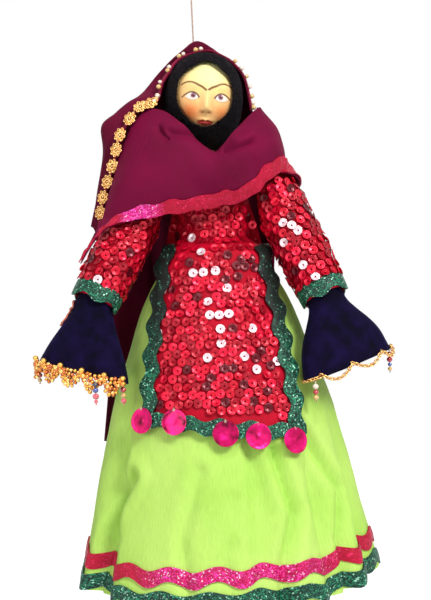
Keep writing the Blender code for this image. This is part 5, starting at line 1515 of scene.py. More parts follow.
def bell_point(side, turn, t, out=0.0, raised=0.0):
    """A point on a bell: the turn from its front, and the share of the way from neck to mouth."""
    share = spline(BELL_ROWS[side], t)
    wide, deep = (BELL_NECK_HALF + (mouth - BELL_NECK_HALF) * share + out for mouth in BELL_MOUTH_HALF)
    angle = 2 * pi * turn
    s = sin(angle)
    c = cos(angle)
    corner = 1 + 0.10 * (1 - abs(c)) * abs(c) * max(t, 0.0)
    soft = 0.0011 * smooth_step(t) * noise.noise(Vector((2.1 * s + side * 5, 2.1 * c, 2.5 * t)))
    slant = 0.0012 * side * (wide * s) / BELL_MOUTH_HALF[0] * t
    down = -BELL_DROP - BELL_LENGTH * t + slant + raised
    return Vector(((wide * s + soft * s) * corner, -(deep + soft) * c * corner, down))


for side, word in SIDES.items():
    place = bell_place(side)
    bell = cloth(
        f"{word}_bell_velvet", lambda u, v: place @ bell_point(side, u, -COLLAR + (1 + COLLAR) * v),
        (110, 44), (0.120, 0.050), VELVET, wrap=True,
    )
    settle(bell, f"{word}_bell", velvet_finish, [f"{word}_velvet_bell"])

ribbon_place = bell_place(-1)


def wrist_ribbon_point(u, v):
    """A point of the coral strip, which lies bunched down the front of the left bell."""
    lump = 0.0009 * sin(7.5 * pi * v) * sin(pi * u)
    lump += 0.0006 * grain(Vector((u * 0.01, v * 0.03, 0)), 0.004)
    turn = -0.25 + (u - 0.5) * 0.16 * (1 - 0.5 * v) + 0.012 * sin(9 * v)
    return ribbon_place @ bell_point(-1, turn, -0.04 + 0.41 * v, VELVET / 2 + 0.0012 + lump)


strip = cloth("left_wrist_coral", wrist_ribbon_point, (14, 40), (0.010, 0.019), CLOTH)
settle(strip, "left_bell", coral_finish, ["left_wrist_ribbon"])
print("bells:", round(BELL_LENGTH * 1000), "mm from neck to mouth")

# %% [markdown]
# ## Chains and beads
# The right bell's mouth is edged with fine gold curb chain in swags, and the left one's with gold beads bunched in
# rows. One link, a small ring squeezed to an oval, is turned a quarter from link to link. Beads are small balls with
# a flattened pole. Under both hang short drops of coloured beads on thread.

# %% Metal, glass and foil finishes
gold_look = Finish("gold_look", Metallic=1.0)
worn = gold_look.noise(gold_look.place(), 0.0022, 3)
gold_finish = gold_look.wear(
    Base_Color=gold_look.ramp(worn, (0.3, colour(206, 150, 84)), (0.7, colour(238, 196, 130))),
    Roughness=gold_look.ramp(worn, (0.3, 0.2), (0.7, 0.4)),
    Normal=gold_look.bump(worn, 0.0001),
)
bead_look = Finish("bead_look", Roughness=0.12, Specular_IOR_Level=0.7, Coat_Weight=0.5, Coat_Roughness=0.05)
swirl = bead_look.noise(bead_look.place(), 0.0011, 3)
bead_finish = bead_look.wear(
    Base_Color=bead_look.blend(
        0.35, bead_look.tone(), bead_look.ramp(swirl, (0.35, 0.55), (0.65, 1.0)), "MULTIPLY"
    ),
    Normal=bead_look.bump(swirl, 0.00006),
)

# %% The chain of links
# The turns round each bell's mouth between which its swags hang, and how many swags there are.
CHAIN_TURNS = {1: (-0.13, 0.215), -1: (-0.19, 0.175)}
CHAIN_BACK_TURN = 0.87
SWAGS = {1: 3, -1: 5}


def mouth_line(side, first, last, steps, out, raised):
    """Points round a bell's mouth, each raised by a rule of its share of the way."""
    shares = [i / steps for i in range(steps + 1)]
    place = bell_place(side)
    return [place @ bell_point(side, first + (last - first) * u, 1.0, out, raised(u)) for u in shares]


def swag_line(side, drop, steps, out=0.0017):
    """A line that sags between the points where it is sewn on."""
    swags = SWAGS[side]

    def raised(u):
        sag = sin(pi * ((u * swags) % 1.0)) if 0 < u < 1 else 0.0
        return 0.0019 - drop * sag

    return mouth_line(side, *CHAIN_TURNS[side], swags * steps, out, raised)


def spaced(line, pitch):
    """Places along a line a pitch apart, with the direction there."""
    runs = lengths_along(line)
    found = []
    for k in range(int(runs[-1] / pitch) + 1):
        at = np.interp(k * pitch, runs, range(len(line)))
        i = min(int(at), len(line) - 2)
        found.append((line[i].lerp(line[i + 1], at - i), (line[i + 1] - line[i]).normalized()))
    return found


def link_pattern():
    """A chain's link: a ring squeezed to an oval, one unit long."""
    made = bmesh.new()
    ring = [Vector((0.5 * sin(a), 0.33 * cos(a), 0.0)) for a in turns_of(10)]
    tube_into(made, ring, 0.13, 5, closed=True)
    return made


LINK = 0.0036


def links_along(line, length):
    """Places for links, each turned a quarter from the one before it."""
    found = []
    for k, (point, along) in enumerate(spaced(line, length * 0.66)):
        turn = along.to_track_quat("X", "Z").to_matrix().to_4x4()
        roll = Matrix.Rotation(radians(40 if k % 2 else -40), 4, "X")
        found.append(Matrix.Translation(point) @ turn @ roll @ Matrix.Scale(length, 4))
    return found


around_back = mouth_line(1, CHAIN_TURNS[1][1], CHAIN_BACK_TURN, 40, 0.0014, lambda u: 0.0012)
links = links_along(swag_line(1, 0.0060, 16), LINK) + links_along(around_back, LINK)
chain = scattered("right_chain_links", link_pattern(), links)
settle(chain, "right_bell", gold_finish, ["right_chain_swags"])
print("chain:", len(links), "links")

# %% Bunched bead swags on the left bell


def bead_pattern():
    """A round bead, one unit wide and a little flattened at its poles."""
    made = bmesh.new()
    ball_into(made, Vector((0.0, 0.0, 0.0)), (0.5, 0.5, 0.46), 8, 6)
    return made


BRASSES = (
    colour(238, 178, 84), colour(222, 150, 66), colour(206, 116, 70), colour(246, 208, 130),
    colour(190, 112, 50),
)
# Six rows of beads: how far each sags, and how far it stands out.
BEAD_ROWS = (
    (0.0, 0.0018), (0.0024, 0.0026), (0.0048, 0.0018), (0.0070, 0.0026), (0.0092, 0.0017), (0.0110, 0.0022)
)
places = []
tones = []
for drop, out in BEAD_ROWS:
    for point, along in spaced(swag_line(-1, drop, 10, out), 0.0028):
        turn = along.to_track_quat("Z", "Y").to_matrix().to_4x4()
        jitter = Vector(rng.normal(0, 0.0003, 3))
        places.append(
            Matrix.Translation(point + jitter) @ turn @ Matrix.Scale(rng.uniform(0.0025, 0.0033), 4)
        )
        tones.append(BRASSES[rng.integers(len(BRASSES))])
for point in mouth_line(-1, *CHAIN_TURNS[-1], SWAGS[-1], 0.0030, lambda u: 0.0036):
    places += [
        Matrix.Translation(point + Vector((0, 0, up))) @ Matrix.Scale(0.0040, 4) for up in (0.0, -0.0036)
    ]
    tones += [BRASSES[0], BRASSES[1]]
brass_look = Finish("brass_look", Metallic=0.7, Specular_IOR_Level=0.6)
tarnish = brass_look.noise(brass_look.place(), 0.0013, 2)
brass_finish = brass_look.wear(
    Base_Color=brass_look.blend(
        0.35, brass_look.tone(), brass_look.ramp(tarnish, (0.35, 0.4), (0.6, 1.0)), "MULTIPLY"
    ),
    Roughness=brass_look.ramp(tarnish, (0.3, 0.15), (0.7, 0.32)),
)
swags = scattered("left_bead_swags", bead_pattern(), places, tones)
settle(swags, "left_bell", brass_finish, ["left_chain_swags"])
print("bunched beads:", len(places))

# %% The bead drops
PINK = colour(236, 92, 110)
RED = colour(196, 24, 44)
BLUE = colour(58, 84, 168)
NAVY = colour(24, 26, 60)
GOLD = colour(230, 186, 112)
PEARL = colour(244, 224, 206)
# Each drop's beads from the top down, with their widths on the thread.
BEAD_SWELL = 1.2
DROPS = {
    "left_bead_drop_1": ((PINK, 0.0034), (RED, 0.0032), (GOLD, 0.0026)),
    "left_bead_drop_2": ((NAVY, 0.0030), (BLUE, 0.0032), (PINK, 0.0036), (PINK, 0.0022)),
    "left_bead_drop_3": ((RED, 0.0034), (GOLD, 0.0030), (PINK, 0.0032)),
    "right_bead_drop_1": ((PINK, 0.0030), (RED, 0.0034), (BLUE, 0.0024), (GOLD, 0.0026)),
    "right_bead_drop_2": ((PEARL, 0.0034), (RED, 0.0030), (GOLD, 0.0030)),
}
for node, beads in DROPS.items():
    top = pivots[node + "_swing"]
    tone_list = []
    bm = bmesh.new()
    down = 0.0014
    for shade, size in [(tone, BEAD_SWELL * width) for tone, width in beads]:
        rim = ball_into(bm, top - Vector((0, 0, down + size / 2)), (size / 2, size / 2, size * 0.46), 16, 10)
        tone_list += [shade] * len(rim)
        down += size * 0.98
    before = len(bm.verts)
    end = top - Vector((0, 0, down + 0.0006))
    tube_into(bm, [top, top - Vector((0, 0, down / 2)), end], 0.0003, 6)
    ball_into(bm, end, 0.0006, 6, 5)
    ball_into(bm, top - Vector((0, 0, 0.0006)), 0.0007, 6, 5)
    tone_list += [PEARL] * (len(bm.verts) - before)
    paint_tone(bm, tone_list)
    settle(to_object(node + "_beads", bm, 180), node, bead_finish, [node])
print("drops:", len(DROPS))

# %% [markdown]
# ## The paillettes
# Five big discs of magenta foil hang from the tunic's hem, each from a hole near its rim. Foil this thin is never
# flat: it has pressed rays and dents. The disc is a spun profile with a raised rim, and noise gives the dents. The
# same noise in the finish paints lighter and darker patches into the magenta: painted highlight and painted shade.

# %% The paillettes
PAILLETTE = 0.017
FOIL_HALF = 0.00022
FOIL_LIFT = 0.0006
foil_look = Finish("foil_look", Metallic=0.6, Specular_IOR_Level=0.4)
foil_flat = foil_look.place()
dents_and_painted_light = foil_look.noise(foil_flat, 0.0075, 2)
foil_finish = foil_look.wear(
    # Light and dark patches of the magenta follow the dent noise: painted highlight and painted shade.
    Base_Color=foil_look.ramp(
        dents_and_painted_light, (0.32, colour(110, 0, 44)), (0.42, colour(186, 0, 80)), (0.60, colour(214, 4, 104)), (
            0.72, colour(252, 30, 150)
        ),
    ),
    Roughness=foil_look.ramp(dents_and_painted_light, (0.3, 0.18), (0.7, 0.34)),
    Normal=foil_look.bump(dents_and_painted_light, 0.0005),
)
PAILLETTE_ROWS = (
    (0.0, 0.0004), (0.10, 0.0003), (0.30, 0.0), (0.62, 0.00015), (0.86, 0.0), (0.94, 0.0003), (1.0, 0.0002)
)
for index in range(1, 6):
    node = f"paillette_{index}"
    eye_point = pivots[node + "_flap"]
    points = np.array([vertex.co for vertex in frame["nodes"][node].data.vertices])
    middle = Vector(points.mean(0))
    facing = Vector(np.linalg.svd(points - points.mean(0))[2][2])
    facing = facing if facing.y < 0 else -facing
    place = frame_on(middle + facing * FOIL_LIFT, facing, (eye_point - middle).normalized())
    bm = bmesh.new()
    half = PAILLETTE / 2
    profile = [(half * share, high + FOIL_HALF) for share, high in PAILLETTE_ROWS]
    profile += [(half * share, high - FOIL_HALF) for share, high in PAILLETTE_ROWS[::-1]]
    spun_into(bm, profile, 64, MERGE)
    for vertex in bm.verts:
        angle = atan2(vertex.co.y, vertex.co.x)
        share = vertex.co.to_2d().length / half
        bend = 0.0003 * share ** 2 * sin(2 * angle + index)
        vertex.co.z += bend + 0.0003 * noise.noise(vertex.co / 0.007 + Vector((index, 0, 0)))
    bmesh.ops.transform(bm, matrix=place, verts=bm.verts)
    settle(to_object(f"foil_{node}", bm, 60), node, foil_finish, [node])
    stitch = bmesh.new()
    hold = eye_point + facing * FOIL_LIFT
    ball_into(stitch, hold, (0.0011, 0.0006, 0.0011), 10, 6)
    below = eye_point + facing * 0.0004 - Vector((0, 0, 0.0015))
    above = eye_point + facing * 0.0003 + Vector((0, 0, 0.0016))
    tube_into(stitch, [below, hold + facing * 0.0005, above], 0.0003, 5)
    settle(to_object(f"stitch_{node}", stitch, 80), node, thread_finish)
print("paillettes: 5, each 17 mm across")

# %% [markdown]
# ## The veil
# The veil is one square of thin wine coloured cloth, laid over the hood and gathered where the string comes through,
# so it stands up there like a tent. Its outline can't be turned or swept. It is a net of points read off the
# photograph: fifteen columns that run from the front edge over the ridge and down the back. A smooth surface is laid
# through the net and pushed out of the hood, the sleeves and the body under it, as real cloth is.

# %% The veil's net
VEIL_SPREAD = 0.0740
VEIL_DEPTH = 0.030
VEIL_DROP = 0.280
VEIL_PEAK = Vector((0.0, 0.0, -0.065))
VEIL_SHARES = (
    (
        (-1.068, 0.133, 0.543), (-1.162, 0.267, 0.557), (-1.135, 0.6, 0.543), (-1.081, 0.933, 0.464),
        (-1.054, 1.133, 0.286), (-1.081, 1.267, 0.143), (-1.149, 1.4, 0.0),
    ),
    (
        (-0.993, -0.233, 0.621), (-1.074, -0.033, 0.632), (-1.081, 0.267, 0.636), (-1.0, 0.8, 0.607),
        (-0.919, 1.133, 0.429), (-0.946, 1.467, 0.214), (-1.027, 1.8, -0.011),
    ),
    (
        (-0.884, -0.533, 0.696), (-0.992, -0.4, 0.707), (-0.993, -0.067, 0.729), (-0.905, 0.667, 0.686),
        (-0.811, 1.2, 0.5), (-0.811, 1.733, 0.25), (-0.892, 2.133, -0.018),
    ),
    (
        (-0.792, -0.667, 0.77), (-0.892, -0.533, 0.784), (-0.997, -0.3, 0.798), (-0.892, 0.467, 0.771),
        (-0.703, 1.167, 0.625), (-0.649, 1.867, 0.286), (-0.703, 2.4, -0.018),
    ),
    (
        (-0.709, -0.65, 0.803), (-0.791, -0.517, 0.825), (-0.865, -0.267, 0.827), (-0.784, 0.533, 0.8),
        (-0.635, 1.133, 0.664), (-0.581, 1.933, 0.304), (-0.622, 2.5, -0.018),
    ),
    (
        (-0.628, -0.633, 0.829), (-0.68, -0.483, 0.855), (-0.736, -0.267, 0.852), (-0.676, 0.6, 0.825),
        (-0.568, 1.133, 0.696), (-0.514, 2.0, 0.321), (-0.541, 2.567, -0.018),
    ),
    (
        (-0.459, -0.567, 0.848), (-0.527, -0.4, 0.87), (-0.635, -0.133, 0.871), (-0.568, 0.633, 0.85),
        (-0.486, 1.133, 0.718), (-0.446, 2.033, 0.329), (-0.459, 2.633, -0.018),
    ),
    (
        (-0.395, -0.400, 0.898), (-0.443, -0.150, 0.907), (-0.547, -0.067, 0.895), (-0.473, 0.667, 0.875),
        (-0.392, 1.133, 0.739), (-0.365, 2.067, 0.339), (-0.351, 2.667, -0.018),
    ),
    (
        (-0.304, -0.300, 0.929), (-0.351, -0.083, 0.943), (-0.399, -0.033, 0.932), (-0.338, 0.767, 0.907),
        (-0.27, 1.167, 0.761), (-0.243, 2.067, 0.357), (-0.216, 2.733, -0.018),
    ),
    (
        (-0.095, -0.200, 0.968), (-0.108, -0.060, 0.981), (-0.101, 0.0, 1.0), (-0.108, 0.8, 0.932),
        (-0.108, 1.2, 0.779), (-0.095, 2.067, 0.357), (-0.068, 2.8, -0.018),
    ),
    (
        (0.095, -0.180, 0.968), (0.081, 0.000, 0.977), (0.068, 0.133, 0.982), (0.068, 0.867, 0.921),
        (0.068, 1.2, 0.771), (0.108, 2.067, 0.357), (0.135, 2.767, -0.018),
    ),
    (
        (0.243, -0.180, 0.943), (0.243, 0.000, 0.952), (0.23, 0.267, 0.95), (0.216, 0.9, 0.889),
        (0.23, 1.2, 0.743), (0.284, 2.0, 0.357), (0.351, 2.667, -0.014),
    ),
    (
        (0.345, -0.180, 0.911), (0.351, 0.020, 0.918), (0.345, 0.333, 0.914), (0.324, 0.9, 0.85),
        (0.351, 1.167, 0.707), (0.432, 1.867, 0.339), (0.541, 2.5, -0.007),
    ),
    (
        (0.385, -0.200, 0.868), (0.399, 0.030, 0.873), (0.405, 0.333, 0.868), (0.392, 0.833, 0.8),
        (0.446, 1.133, 0.643), (0.568, 1.667, 0.304), (0.716, 2.133, 0.007),
    ),
    (
        (0.405, -0.267, 0.821), (0.426, 0.017, 0.825), (0.432, 0.333, 0.814), (0.459, 0.8, 0.75),
        (0.527, 1.1, 0.554), (0.649, 1.467, 0.268), (0.811, 1.8, 0.025),
    ),
)


def out_of_hood(point, clearance):
    """The point, moved outwards until it lies this far outside the hood."""
    centre = Vector((AXIS_X - HEAD_ASIDE, 0.0, HOOD_Z))
    local = HEAD_TURN.transposed() @ (point - centre)
    shares = [local[k] / (HOOD_HALF[k] + clearance) for k in range(3)]
    depth = sum(abs(share) ** SQUARENESS for share in shares) ** (1 / SQUARENESS)
    return point if depth >= 1.0 else centre + HEAD_TURN @ (local / max(depth, 0.05))


def out_of_sleeve(point, side, clearance):
    """The point, moved outwards until it lies this far outside a sleeve."""
    start = pivots[SIDES[side] + "_shoulder"]
    run = pivots[SIDES[side] + "_wrist"] - start
    t = min(1.0, max(0.0, (point - start).dot(run) / run.length_squared))
    away = point - (start + run * t)
    reach = sleeve_radius(t) + CLOTH + clearance
    return point if away.length >= reach else start + run * t + away.normalized() * reach


def out_of_tunic(point, clearance):
    """The point, moved outwards from the body's axis until it clears the tunic."""
    if not WAIST_Z < point.z < BODY_TOP_Z:
        return point
    half = tunic_half(point.z)
    away = Vector((point.x - AXIS_X, point.y, 0.0))
    depth = hypot(away.x / (half[0] + CLOTH + clearance), away.y / (half[1] + CLOTH + clearance))
    return point if depth >= 1.0 else point + away * (1.0 / max(depth, 0.05) - 1.0)


def drape(point, clearance):
    """The point, kept clear of the hood, the tunic and both sleeves."""
    for _ in range(2):
        point = out_of_tunic(point, clearance)
        point = out_of_sleeve(point, -1, clearance + 0.0028)
        point = out_of_sleeve(point, 1, clearance + 0.0028)
        point = out_of_hood(point, clearance)
    return point


def net_of(table, middle, spread):
    """The table's points, each moved from the middle by its shares of the spread."""
    return [
        [middle + Vector([s * w for s, w in zip(shares, spread)]) for shares in column] for column in table
    ]


VEIL_NET = net_of(
    VEIL_SHARES, Vector((AXIS_X, 0.0, VEIL_PEAK.z - VEIL_DROP)), (VEIL_SPREAD, VEIL_DEPTH, VEIL_DROP)
)
VEIL_NET = [[VEIL_PEAK if point.z >= VEIL_PEAK.z else point for point in column] for column in VEIL_NET]


def away_from_axis(point):
    """Outwards and a little upwards from the doll's axis."""
    return Vector((point.x - AXIS_X, point.y, 0.0175)).normalized()


def veil_point(u, v):
    """A point of the veil: u goes round its front edge, v goes back from that edge to the hem behind."""
    at = v * 6
    if at <= 1:
        point = through([column[0].lerp(column[1], at) for column in VEIL_NET], u)
    else:
        point = through([through(column[1:], (at - 1) / 5) for column in VEIL_NET], u)
    near_peak = (point - VEIL_PEAK).length
    if near_peak < 0.004:
        return point
    point = drape(point, 0.0015)
    pleat = 0.0019 * smooth_step((v - 0.45) / 0.55) * (1 + sin(2 * pi * 4.5 * u))
    tent = 0.0007 * sin(2 * pi * 9 * u) * bell_curve(near_peak - 0.016, 0.011)
    ripple = 0.0006 * grain(Vector((u * 0.24, 0.0, v * 0.12)), 0.022, 3) * smooth_step(v * 5)
    return point + away_from_axis(point) * (pleat + tent + ripple)


veil = cloth("wine_veil", veil_point, (128, 72), (0.21, 0.24), 0.0007)
settle(veil, "doll", veil_finish, ["veil"])
print("veil:", len(veil.data.polygons), "faces")

# %% [markdown]
# ## The shawl
# A second wine cloth is wrapped round the shoulders and over the chest, with its ends thrown behind. It stands up at
# the neck as a cowl, and its lower edge carries a narrow red ribbon. It is made by a net of points as the veil is.
# Its folds run where the photograph shows them: each is a valley pressed along a line.

# %% The shawl's net
SHAWL_SPREAD = (0.0575, 0.040, -0.110)
CHIN_DROP = 0.0225
COWL_RISE = 0.0055
SHAWL_TOP_Z = FACE_Z - CHIN_DROP + COWL_RISE
SHAWL_CLEARANCE = 0.0028
SHAWL_SHARES = (
    (
        (-0.713, -0.425, -0.086), (-0.90, -0.46, 0.015), (-1.03, -0.46, 0.165), (-1.13, -0.50, 0.31),
        (-1.27, -0.65, 0.55), (-1.41, -0.78, 0.93),
    ),
    (
        (-0.50, -0.60, -0.05), (-0.72, -0.76, 0.09), (-0.90, -0.82, 0.27), (-1.06, -0.84, 0.46),
        (-1.24, -0.80, 0.70)
    ),
    (
        (-0.29, -0.74, 0.045), (-0.42, -0.92, 0.17), (-0.52, -1.00, 0.31), (-0.62, -0.98, 0.45),
        (-0.72, -0.90, 0.60)
    ),
    (
        (0.05, -0.80, 0.21), (0.05, -1.00, 0.29), (0.02, -1.06, 0.38), (-0.04, -1.00, 0.47),
        (-0.10, -0.86, 0.565)
    ),
    ((0.32, -0.76, 0.09), (0.38, -0.96, 0.20), (0.41, -1.00, 0.30), (0.43, -0.94, 0.40), (0.45, -0.80, 0.50)),
    (
        (0.60, -0.54, -0.05), (0.71, -0.66, 0.06), (0.77, -0.70, 0.16), (0.80, -0.66, 0.25),
        (0.81, -0.58, 0.35)
    ),
    (
        (0.64, -0.04, -0.02), (0.82, -0.04, 0.08), (0.89, -0.02, 0.18), (0.92, 0.00, 0.27),
        (0.97, 0.00, 0.37), (0.93, 0.00, 0.46)
    ),
    ((0.52, 0.68, 0.14), (0.66, 0.76, 0.20), (0.78, 0.82, 0.28), (0.86, 0.86, 0.38), (0.90, 0.88, 0.49)),
    ((0.30, 1.00, 0.24), (0.44, 1.06, 0.30), (0.56, 1.08, 0.38), (0.68, 1.08, 0.48), (0.80, 1.06, 0.58)),
    ((0.24, 1.20, 0.62), (0.38, 1.26, 0.66), (0.52, 1.30, 0.70), (0.66, 1.30, 0.76), (0.78, 1.26, 0.82)),
    ((0.20, 1.46, 1.02), (0.34, 1.52, 1.06), (0.48, 1.56, 1.10), (0.62, 1.54, 1.12), (0.74, 1.50, 1.14)),
)
SHAWL_NET = net_of(SHAWL_SHARES, Vector((AXIS_X, 0.0, SHAWL_TOP_Z)), SHAWL_SPREAD)
# The folds' lines, by their places in the photograph.
SHAWL_VALLEYS = (
    ((164, 132), (177, 134), (190.5, 135), (208, 143), (221.5, 152)),
    ((221.5, 152), (232, 149), (242, 146), (259, 140)),
    ((154, 124), (161, 134), (170, 142)),
)
# Broad shallow hollows, where the cloth sinks between the arms.
SHAWL_HOLLOWS = (((176, 168), (199, 188), (216, 196)), ((236, 176), (252, 166), (262, 158)))
SHAWL_RIDGES = (((160, 126), (178, 128), (196, 131), (212, 139)), ((228, 144), (244, 139), (256, 131)))
veil_tree = BVHTree.FromObject(veil, bpy.context.evaluated_depsgraph_get())


def fold_depth(point, lines, wide):
    """How deep in a fold a point lies, from 0 to 1: the folds are lines of the photograph."""
    deepest = 0.0
    for line in lines:
        places = [seen_at(*place, point.y) for place in line]
        for i in range(len(places) - 1):
            a = Vector((places[i].x, places[i].z))
            run = Vector((places[i + 1].x, places[i + 1].z)) - a
            off = Vector((point.x, point.z)) - a
            t = min(1.0, max(0.0, off.dot(run) / run.length_squared))
            fade = 1.0
            if i == 0:
                fade = smooth_step(t * 2)
            elif i == len(places) - 2:
                fade = smooth_step((1 - t) * 2)
            deepest = max(deepest, fade * exp(-((off - run * t).length / wide) ** 2))
    return deepest


def shawl_point(u, v):
    """A point of the shawl: u goes from the arm on the left over the chest to the back, v from the cowl down."""
    point = through([through(column, v) for column in SHAWL_NET], u)
    behind = smooth_step((u - 0.5) / 0.1)
    for _ in range(2):
        point = drape(point, 0.0033)
        if behind:
            near, normal, _, distance = veil_tree.find_nearest(point, 0.008)
            if near is not None:
                facing = normal if normal.dot(away_from_axis(point)) > 0 else -normal
                height = (point - near).dot(facing)
                beyond_its_edge = distance > 0.0010 and abs(height) < 0.9 * distance
                if height < SHAWL_CLEARANCE * behind and not beyond_its_edge:
                    point = point + facing * (SHAWL_CLEARANCE * behind - height)
    lift = 0.0007 * grain(Vector((u * 0.22, 0.0, v * 0.10)), 0.020, 5)
    if u < 0.62:
        lift += 0.0024 * fold_depth(point, SHAWL_RIDGES, 0.0036) - 0.0036 * fold_depth(
            point, SHAWL_VALLEYS, 0.0024
        )
        lift -= 0.0022 * fold_depth(point, SHAWL_HOLLOWS, 0.0085)
    return point + away_from_axis(point) * lift


shawl = cloth("wine_shawl", shawl_point, (230, 86), (0.25, 0.080), 0.0008)
settle(shawl, "doll", wine_finish, ["shawl_wrap"])
print("shawl:", len(shawl.data.polygons), "faces")

# %% [markdown]
# ## The shawl's ribbon
# The ribbon along the shawl's lower edge is a soft red one, about 7 mm wide and a little wavy. Over the left arm its
# glitter has turned to pink and white. It is laid on the shawl by the same rule that placed the shawl.

# %% The ribbon on the shawl
RIBBON_LAST = 0.60


def laid_on(rule, u, v, lift, step=0.006):
    """A point this far above a cloth, on the side away from the doll's axis."""
    here = rule(u, v)
    normal = surface_normal(rule, u, v, step, away_from_axis(here))
    return here + normal * lift


def ribbon_point(u, v):
    turn = RIBBON_LAST * u
    here = shawl_point(turn, 1.0)
    length = (here - shawl_point(turn, 0.94)).length / 0.06
    wave = 0.0006 * sin(2 * pi * u * 11) + 0.0005 * sin(2 * pi * u * 4.3 + 1)
    down = 1.0 - (0.0078 * (1 - v) - 0.0004 + wave) / length
    ruffle = 0.0005 * sin(2 * pi * (u * 17 + 0.2 * v)) * (0.3 + 0.7 * abs(2 * v - 1))
    if down > 1.0:
        beyond = (here - shawl_point(turn, 0.94)).normalized() * (down - 1.0) * length
        return laid_on(shawl_point, turn, 1.0, 0.0012 + ruffle) + beyond
    return laid_on(shawl_point, turn, down, 0.0012 + ruffle)


ribbon = cloth("shawl_red_ribbon", ribbon_point, (170, 7), (0.175, 0.0100), 0.0007)
settle(ribbon, "doll", shawl_glitter, ["shawl_ribbon"])
print("ribbon:", len(ribbon.data.polygons), "faces")

# %% [markdown]
# ## The veil's braid
# The veil's front edge is bound with a narrow tape with small pearl and gold beads sewn on it round the face. Down
# the viewer's left side the tape carries oval gold rosettes, each with wires looped round a centre. One rosette is
# made from a ring, a crown of small loops and a bead, and copied along the edge.

# %% The tape
TAPE_WIDTH = 0.0024


def tape_point(u, v):
    edge = veil_point(u, 0.0)
    back = (veil_point(u, 0.02) - edge).normalized()
    return laid_on(veil_point, u, 0.0, 0.0010) + back * (TAPE_WIDTH * v - 0.0004)


tape = cloth("veil_edge_tape", lambda u, v: tape_point(0.985 * u, v), (190, 4), (0.26, 0.0100), 0.0007)
settle(tape, "doll", edge_finish, ["gold_braid"])

# %% Rosettes and beads on the tape
ROSETTES = (
    (150.9, 103.5), (140.6, 107), (130.3, 119), (121.1, 135.4), (116, 150), (111.8, 166.4), (107, 181),
    (103.6, 197.4), (99.3, 212),
)
SMALL_BEADS = (
    (201.7, 52.7), (196.5, 53.6), (185, 58.7), (182.5, 61), (172.8, 69.1), (170.4, 72.5), (163.3, 83.7),
    (162.6, 88),
    (160, 97.5), (159.4, 102), (158.2, 107), (163.5, 117), (164.5, 121), (232.7, 63), (238, 71), (242.2, 78.5),
    (244.2, 88), (244.8, 97.5), (246.5, 104), (243.9, 109.5), (244.5, 114.5), (254.2, 109.5), (253.2, 113),
    (252.5, 116.5),
)
EDGE_STEPS = 400
edge_turns = [0.985 * i / EDGE_STEPS for i in range(EDGE_STEPS + 1)]
edge_places = [tape_point(turn, 0.5) for turn in edge_turns]


def nearest_turn(across, down):
    """The turn of the veil's edge that stands nearest to a place of the photograph."""
    def off(i):
        there = seen_at(across, down, edge_places[i].y)
        return (there - edge_places[i]).length
    best = min(range(EDGE_STEPS + 1), key=off)
    return edge_turns[best], off(best)


def rosette_pattern():
    """A rosette one unit wide that lies on the xy plane: a ring, a crown of wire loops, and a bead."""
    made = bmesh.new()
    for angle in turns_of(8):
        turn = Matrix.Rotation(angle, 4, "Z")
        loop = [
            turn @ Vector((0.335 + 0.14 * cos(a), 0.105 * sin(a), 0.05 + 0.03 * cos(2 * a)))
            for a in turns_of(9)
        ]
        tube_into(made, loop, 0.056, 5, closed=True)
        ball_into(made, turn @ Vector((0.335, 0.0, 0.03)), (0.07, 0.06, 0.05), 6, 4)
    ring = [Vector((0.17 * cos(a), 0.17 * sin(a), 0.08)) for a in turns_of(14)]
    tube_into(made, ring, 0.045, 5, closed=True)
    ball_into(made, Vector((0.0, 0.0, 0.06)), (0.10, 0.10, 0.09), 8, 6)
    return made


ROSETTE_SIZE = (0.0080, 0.0104, 0.0080)
places = []
for across, down in ROSETTES:
    turn, _ = nearest_turn(across, down)
    middle = tape_point(turn, 0.5)
    along = (tape_point(min(turn + 0.01, 0.98), 0.5) - tape_point(max(turn - 0.01, 0.0), 0.5)).normalized()
    normal = surface_normal(veil_point, turn, 0.01, 0.006, away_from_axis(middle))
    normal = (normal + Vector((0.0, -1.0, 0.0))).normalized()
    place = frame_on(middle + normal * 0.0012, normal, along)
    places.append(place @ Matrix.Diagonal((*ROSETTE_SIZE, 1.0)))
rosettes = scattered("veil_rosettes", rosette_pattern(), places)
settle(rosettes, "doll", gold_finish)
places = []
tones = []
for index, (across, down) in enumerate(SMALL_BEADS):
    turn, off = nearest_turn(across, down)
    if off > 0.010:
        continue
    middle = tape_point(turn, 0.5)
    normal = surface_normal(veil_point, turn, 0.01, 0.006, away_from_axis(middle))
    places.append(Matrix.Translation(middle + normal * 0.0014) @ Matrix.Scale(rng.uniform(0.0028, 0.0038), 4))
    tones.append(PEARL if index % 2 == 0 else GOLD)
pearls = scattered("veil_edge_beads", bead_pattern(), places, tones)
settle(pearls, "doll", bead_finish)
print("rosettes:", len(ROSETTES), "small beads:", len(places))

# %% [markdown]
# ## The hidden doll
# Under the skirt, upside down, a topsy turvy doll has its second head and body. Nothing of it shows in the
# photograph, so it is kept plain: the same mask, a cotton scarf in place of the wool hood, and a bodice.

# %% The hidden doll's scarf and bodice
make_hood(
    "cotton_scarf", "lower_scarf", Vector((AXIS_X - HEAD_ASIDE * LOWER_SIZE, 0.0, lower_hood_z)),
    Vector((AXIS_X, 0.0, lower_face_z)), UPSIDE_DOWN, LOWER_SIZE, 0.4, scarf_finish,
)


def bodice_point(u, v):
    angle = 2 * pi * u
    t = 0.12 + 0.80 * v
    z = WAIST_Z - 0.002 - (WAIST_Z - 0.002 - LOWER_TOP_Z) * t
    share = spline(BODY_ROWS, t)
    wrinkle = 0.0003 * grain(Vector((u * 0.1, t * 0.06, 0)), 0.012, 9)
    reach = CLOTH / 2 + 0.0006 + wrinkle
    wide, deep = (half * LOWER_SIZE * share + reach for half in BODY_HALF)
    return Vector((AXIS_X + wide * cos(angle), deep * sin(angle), z))


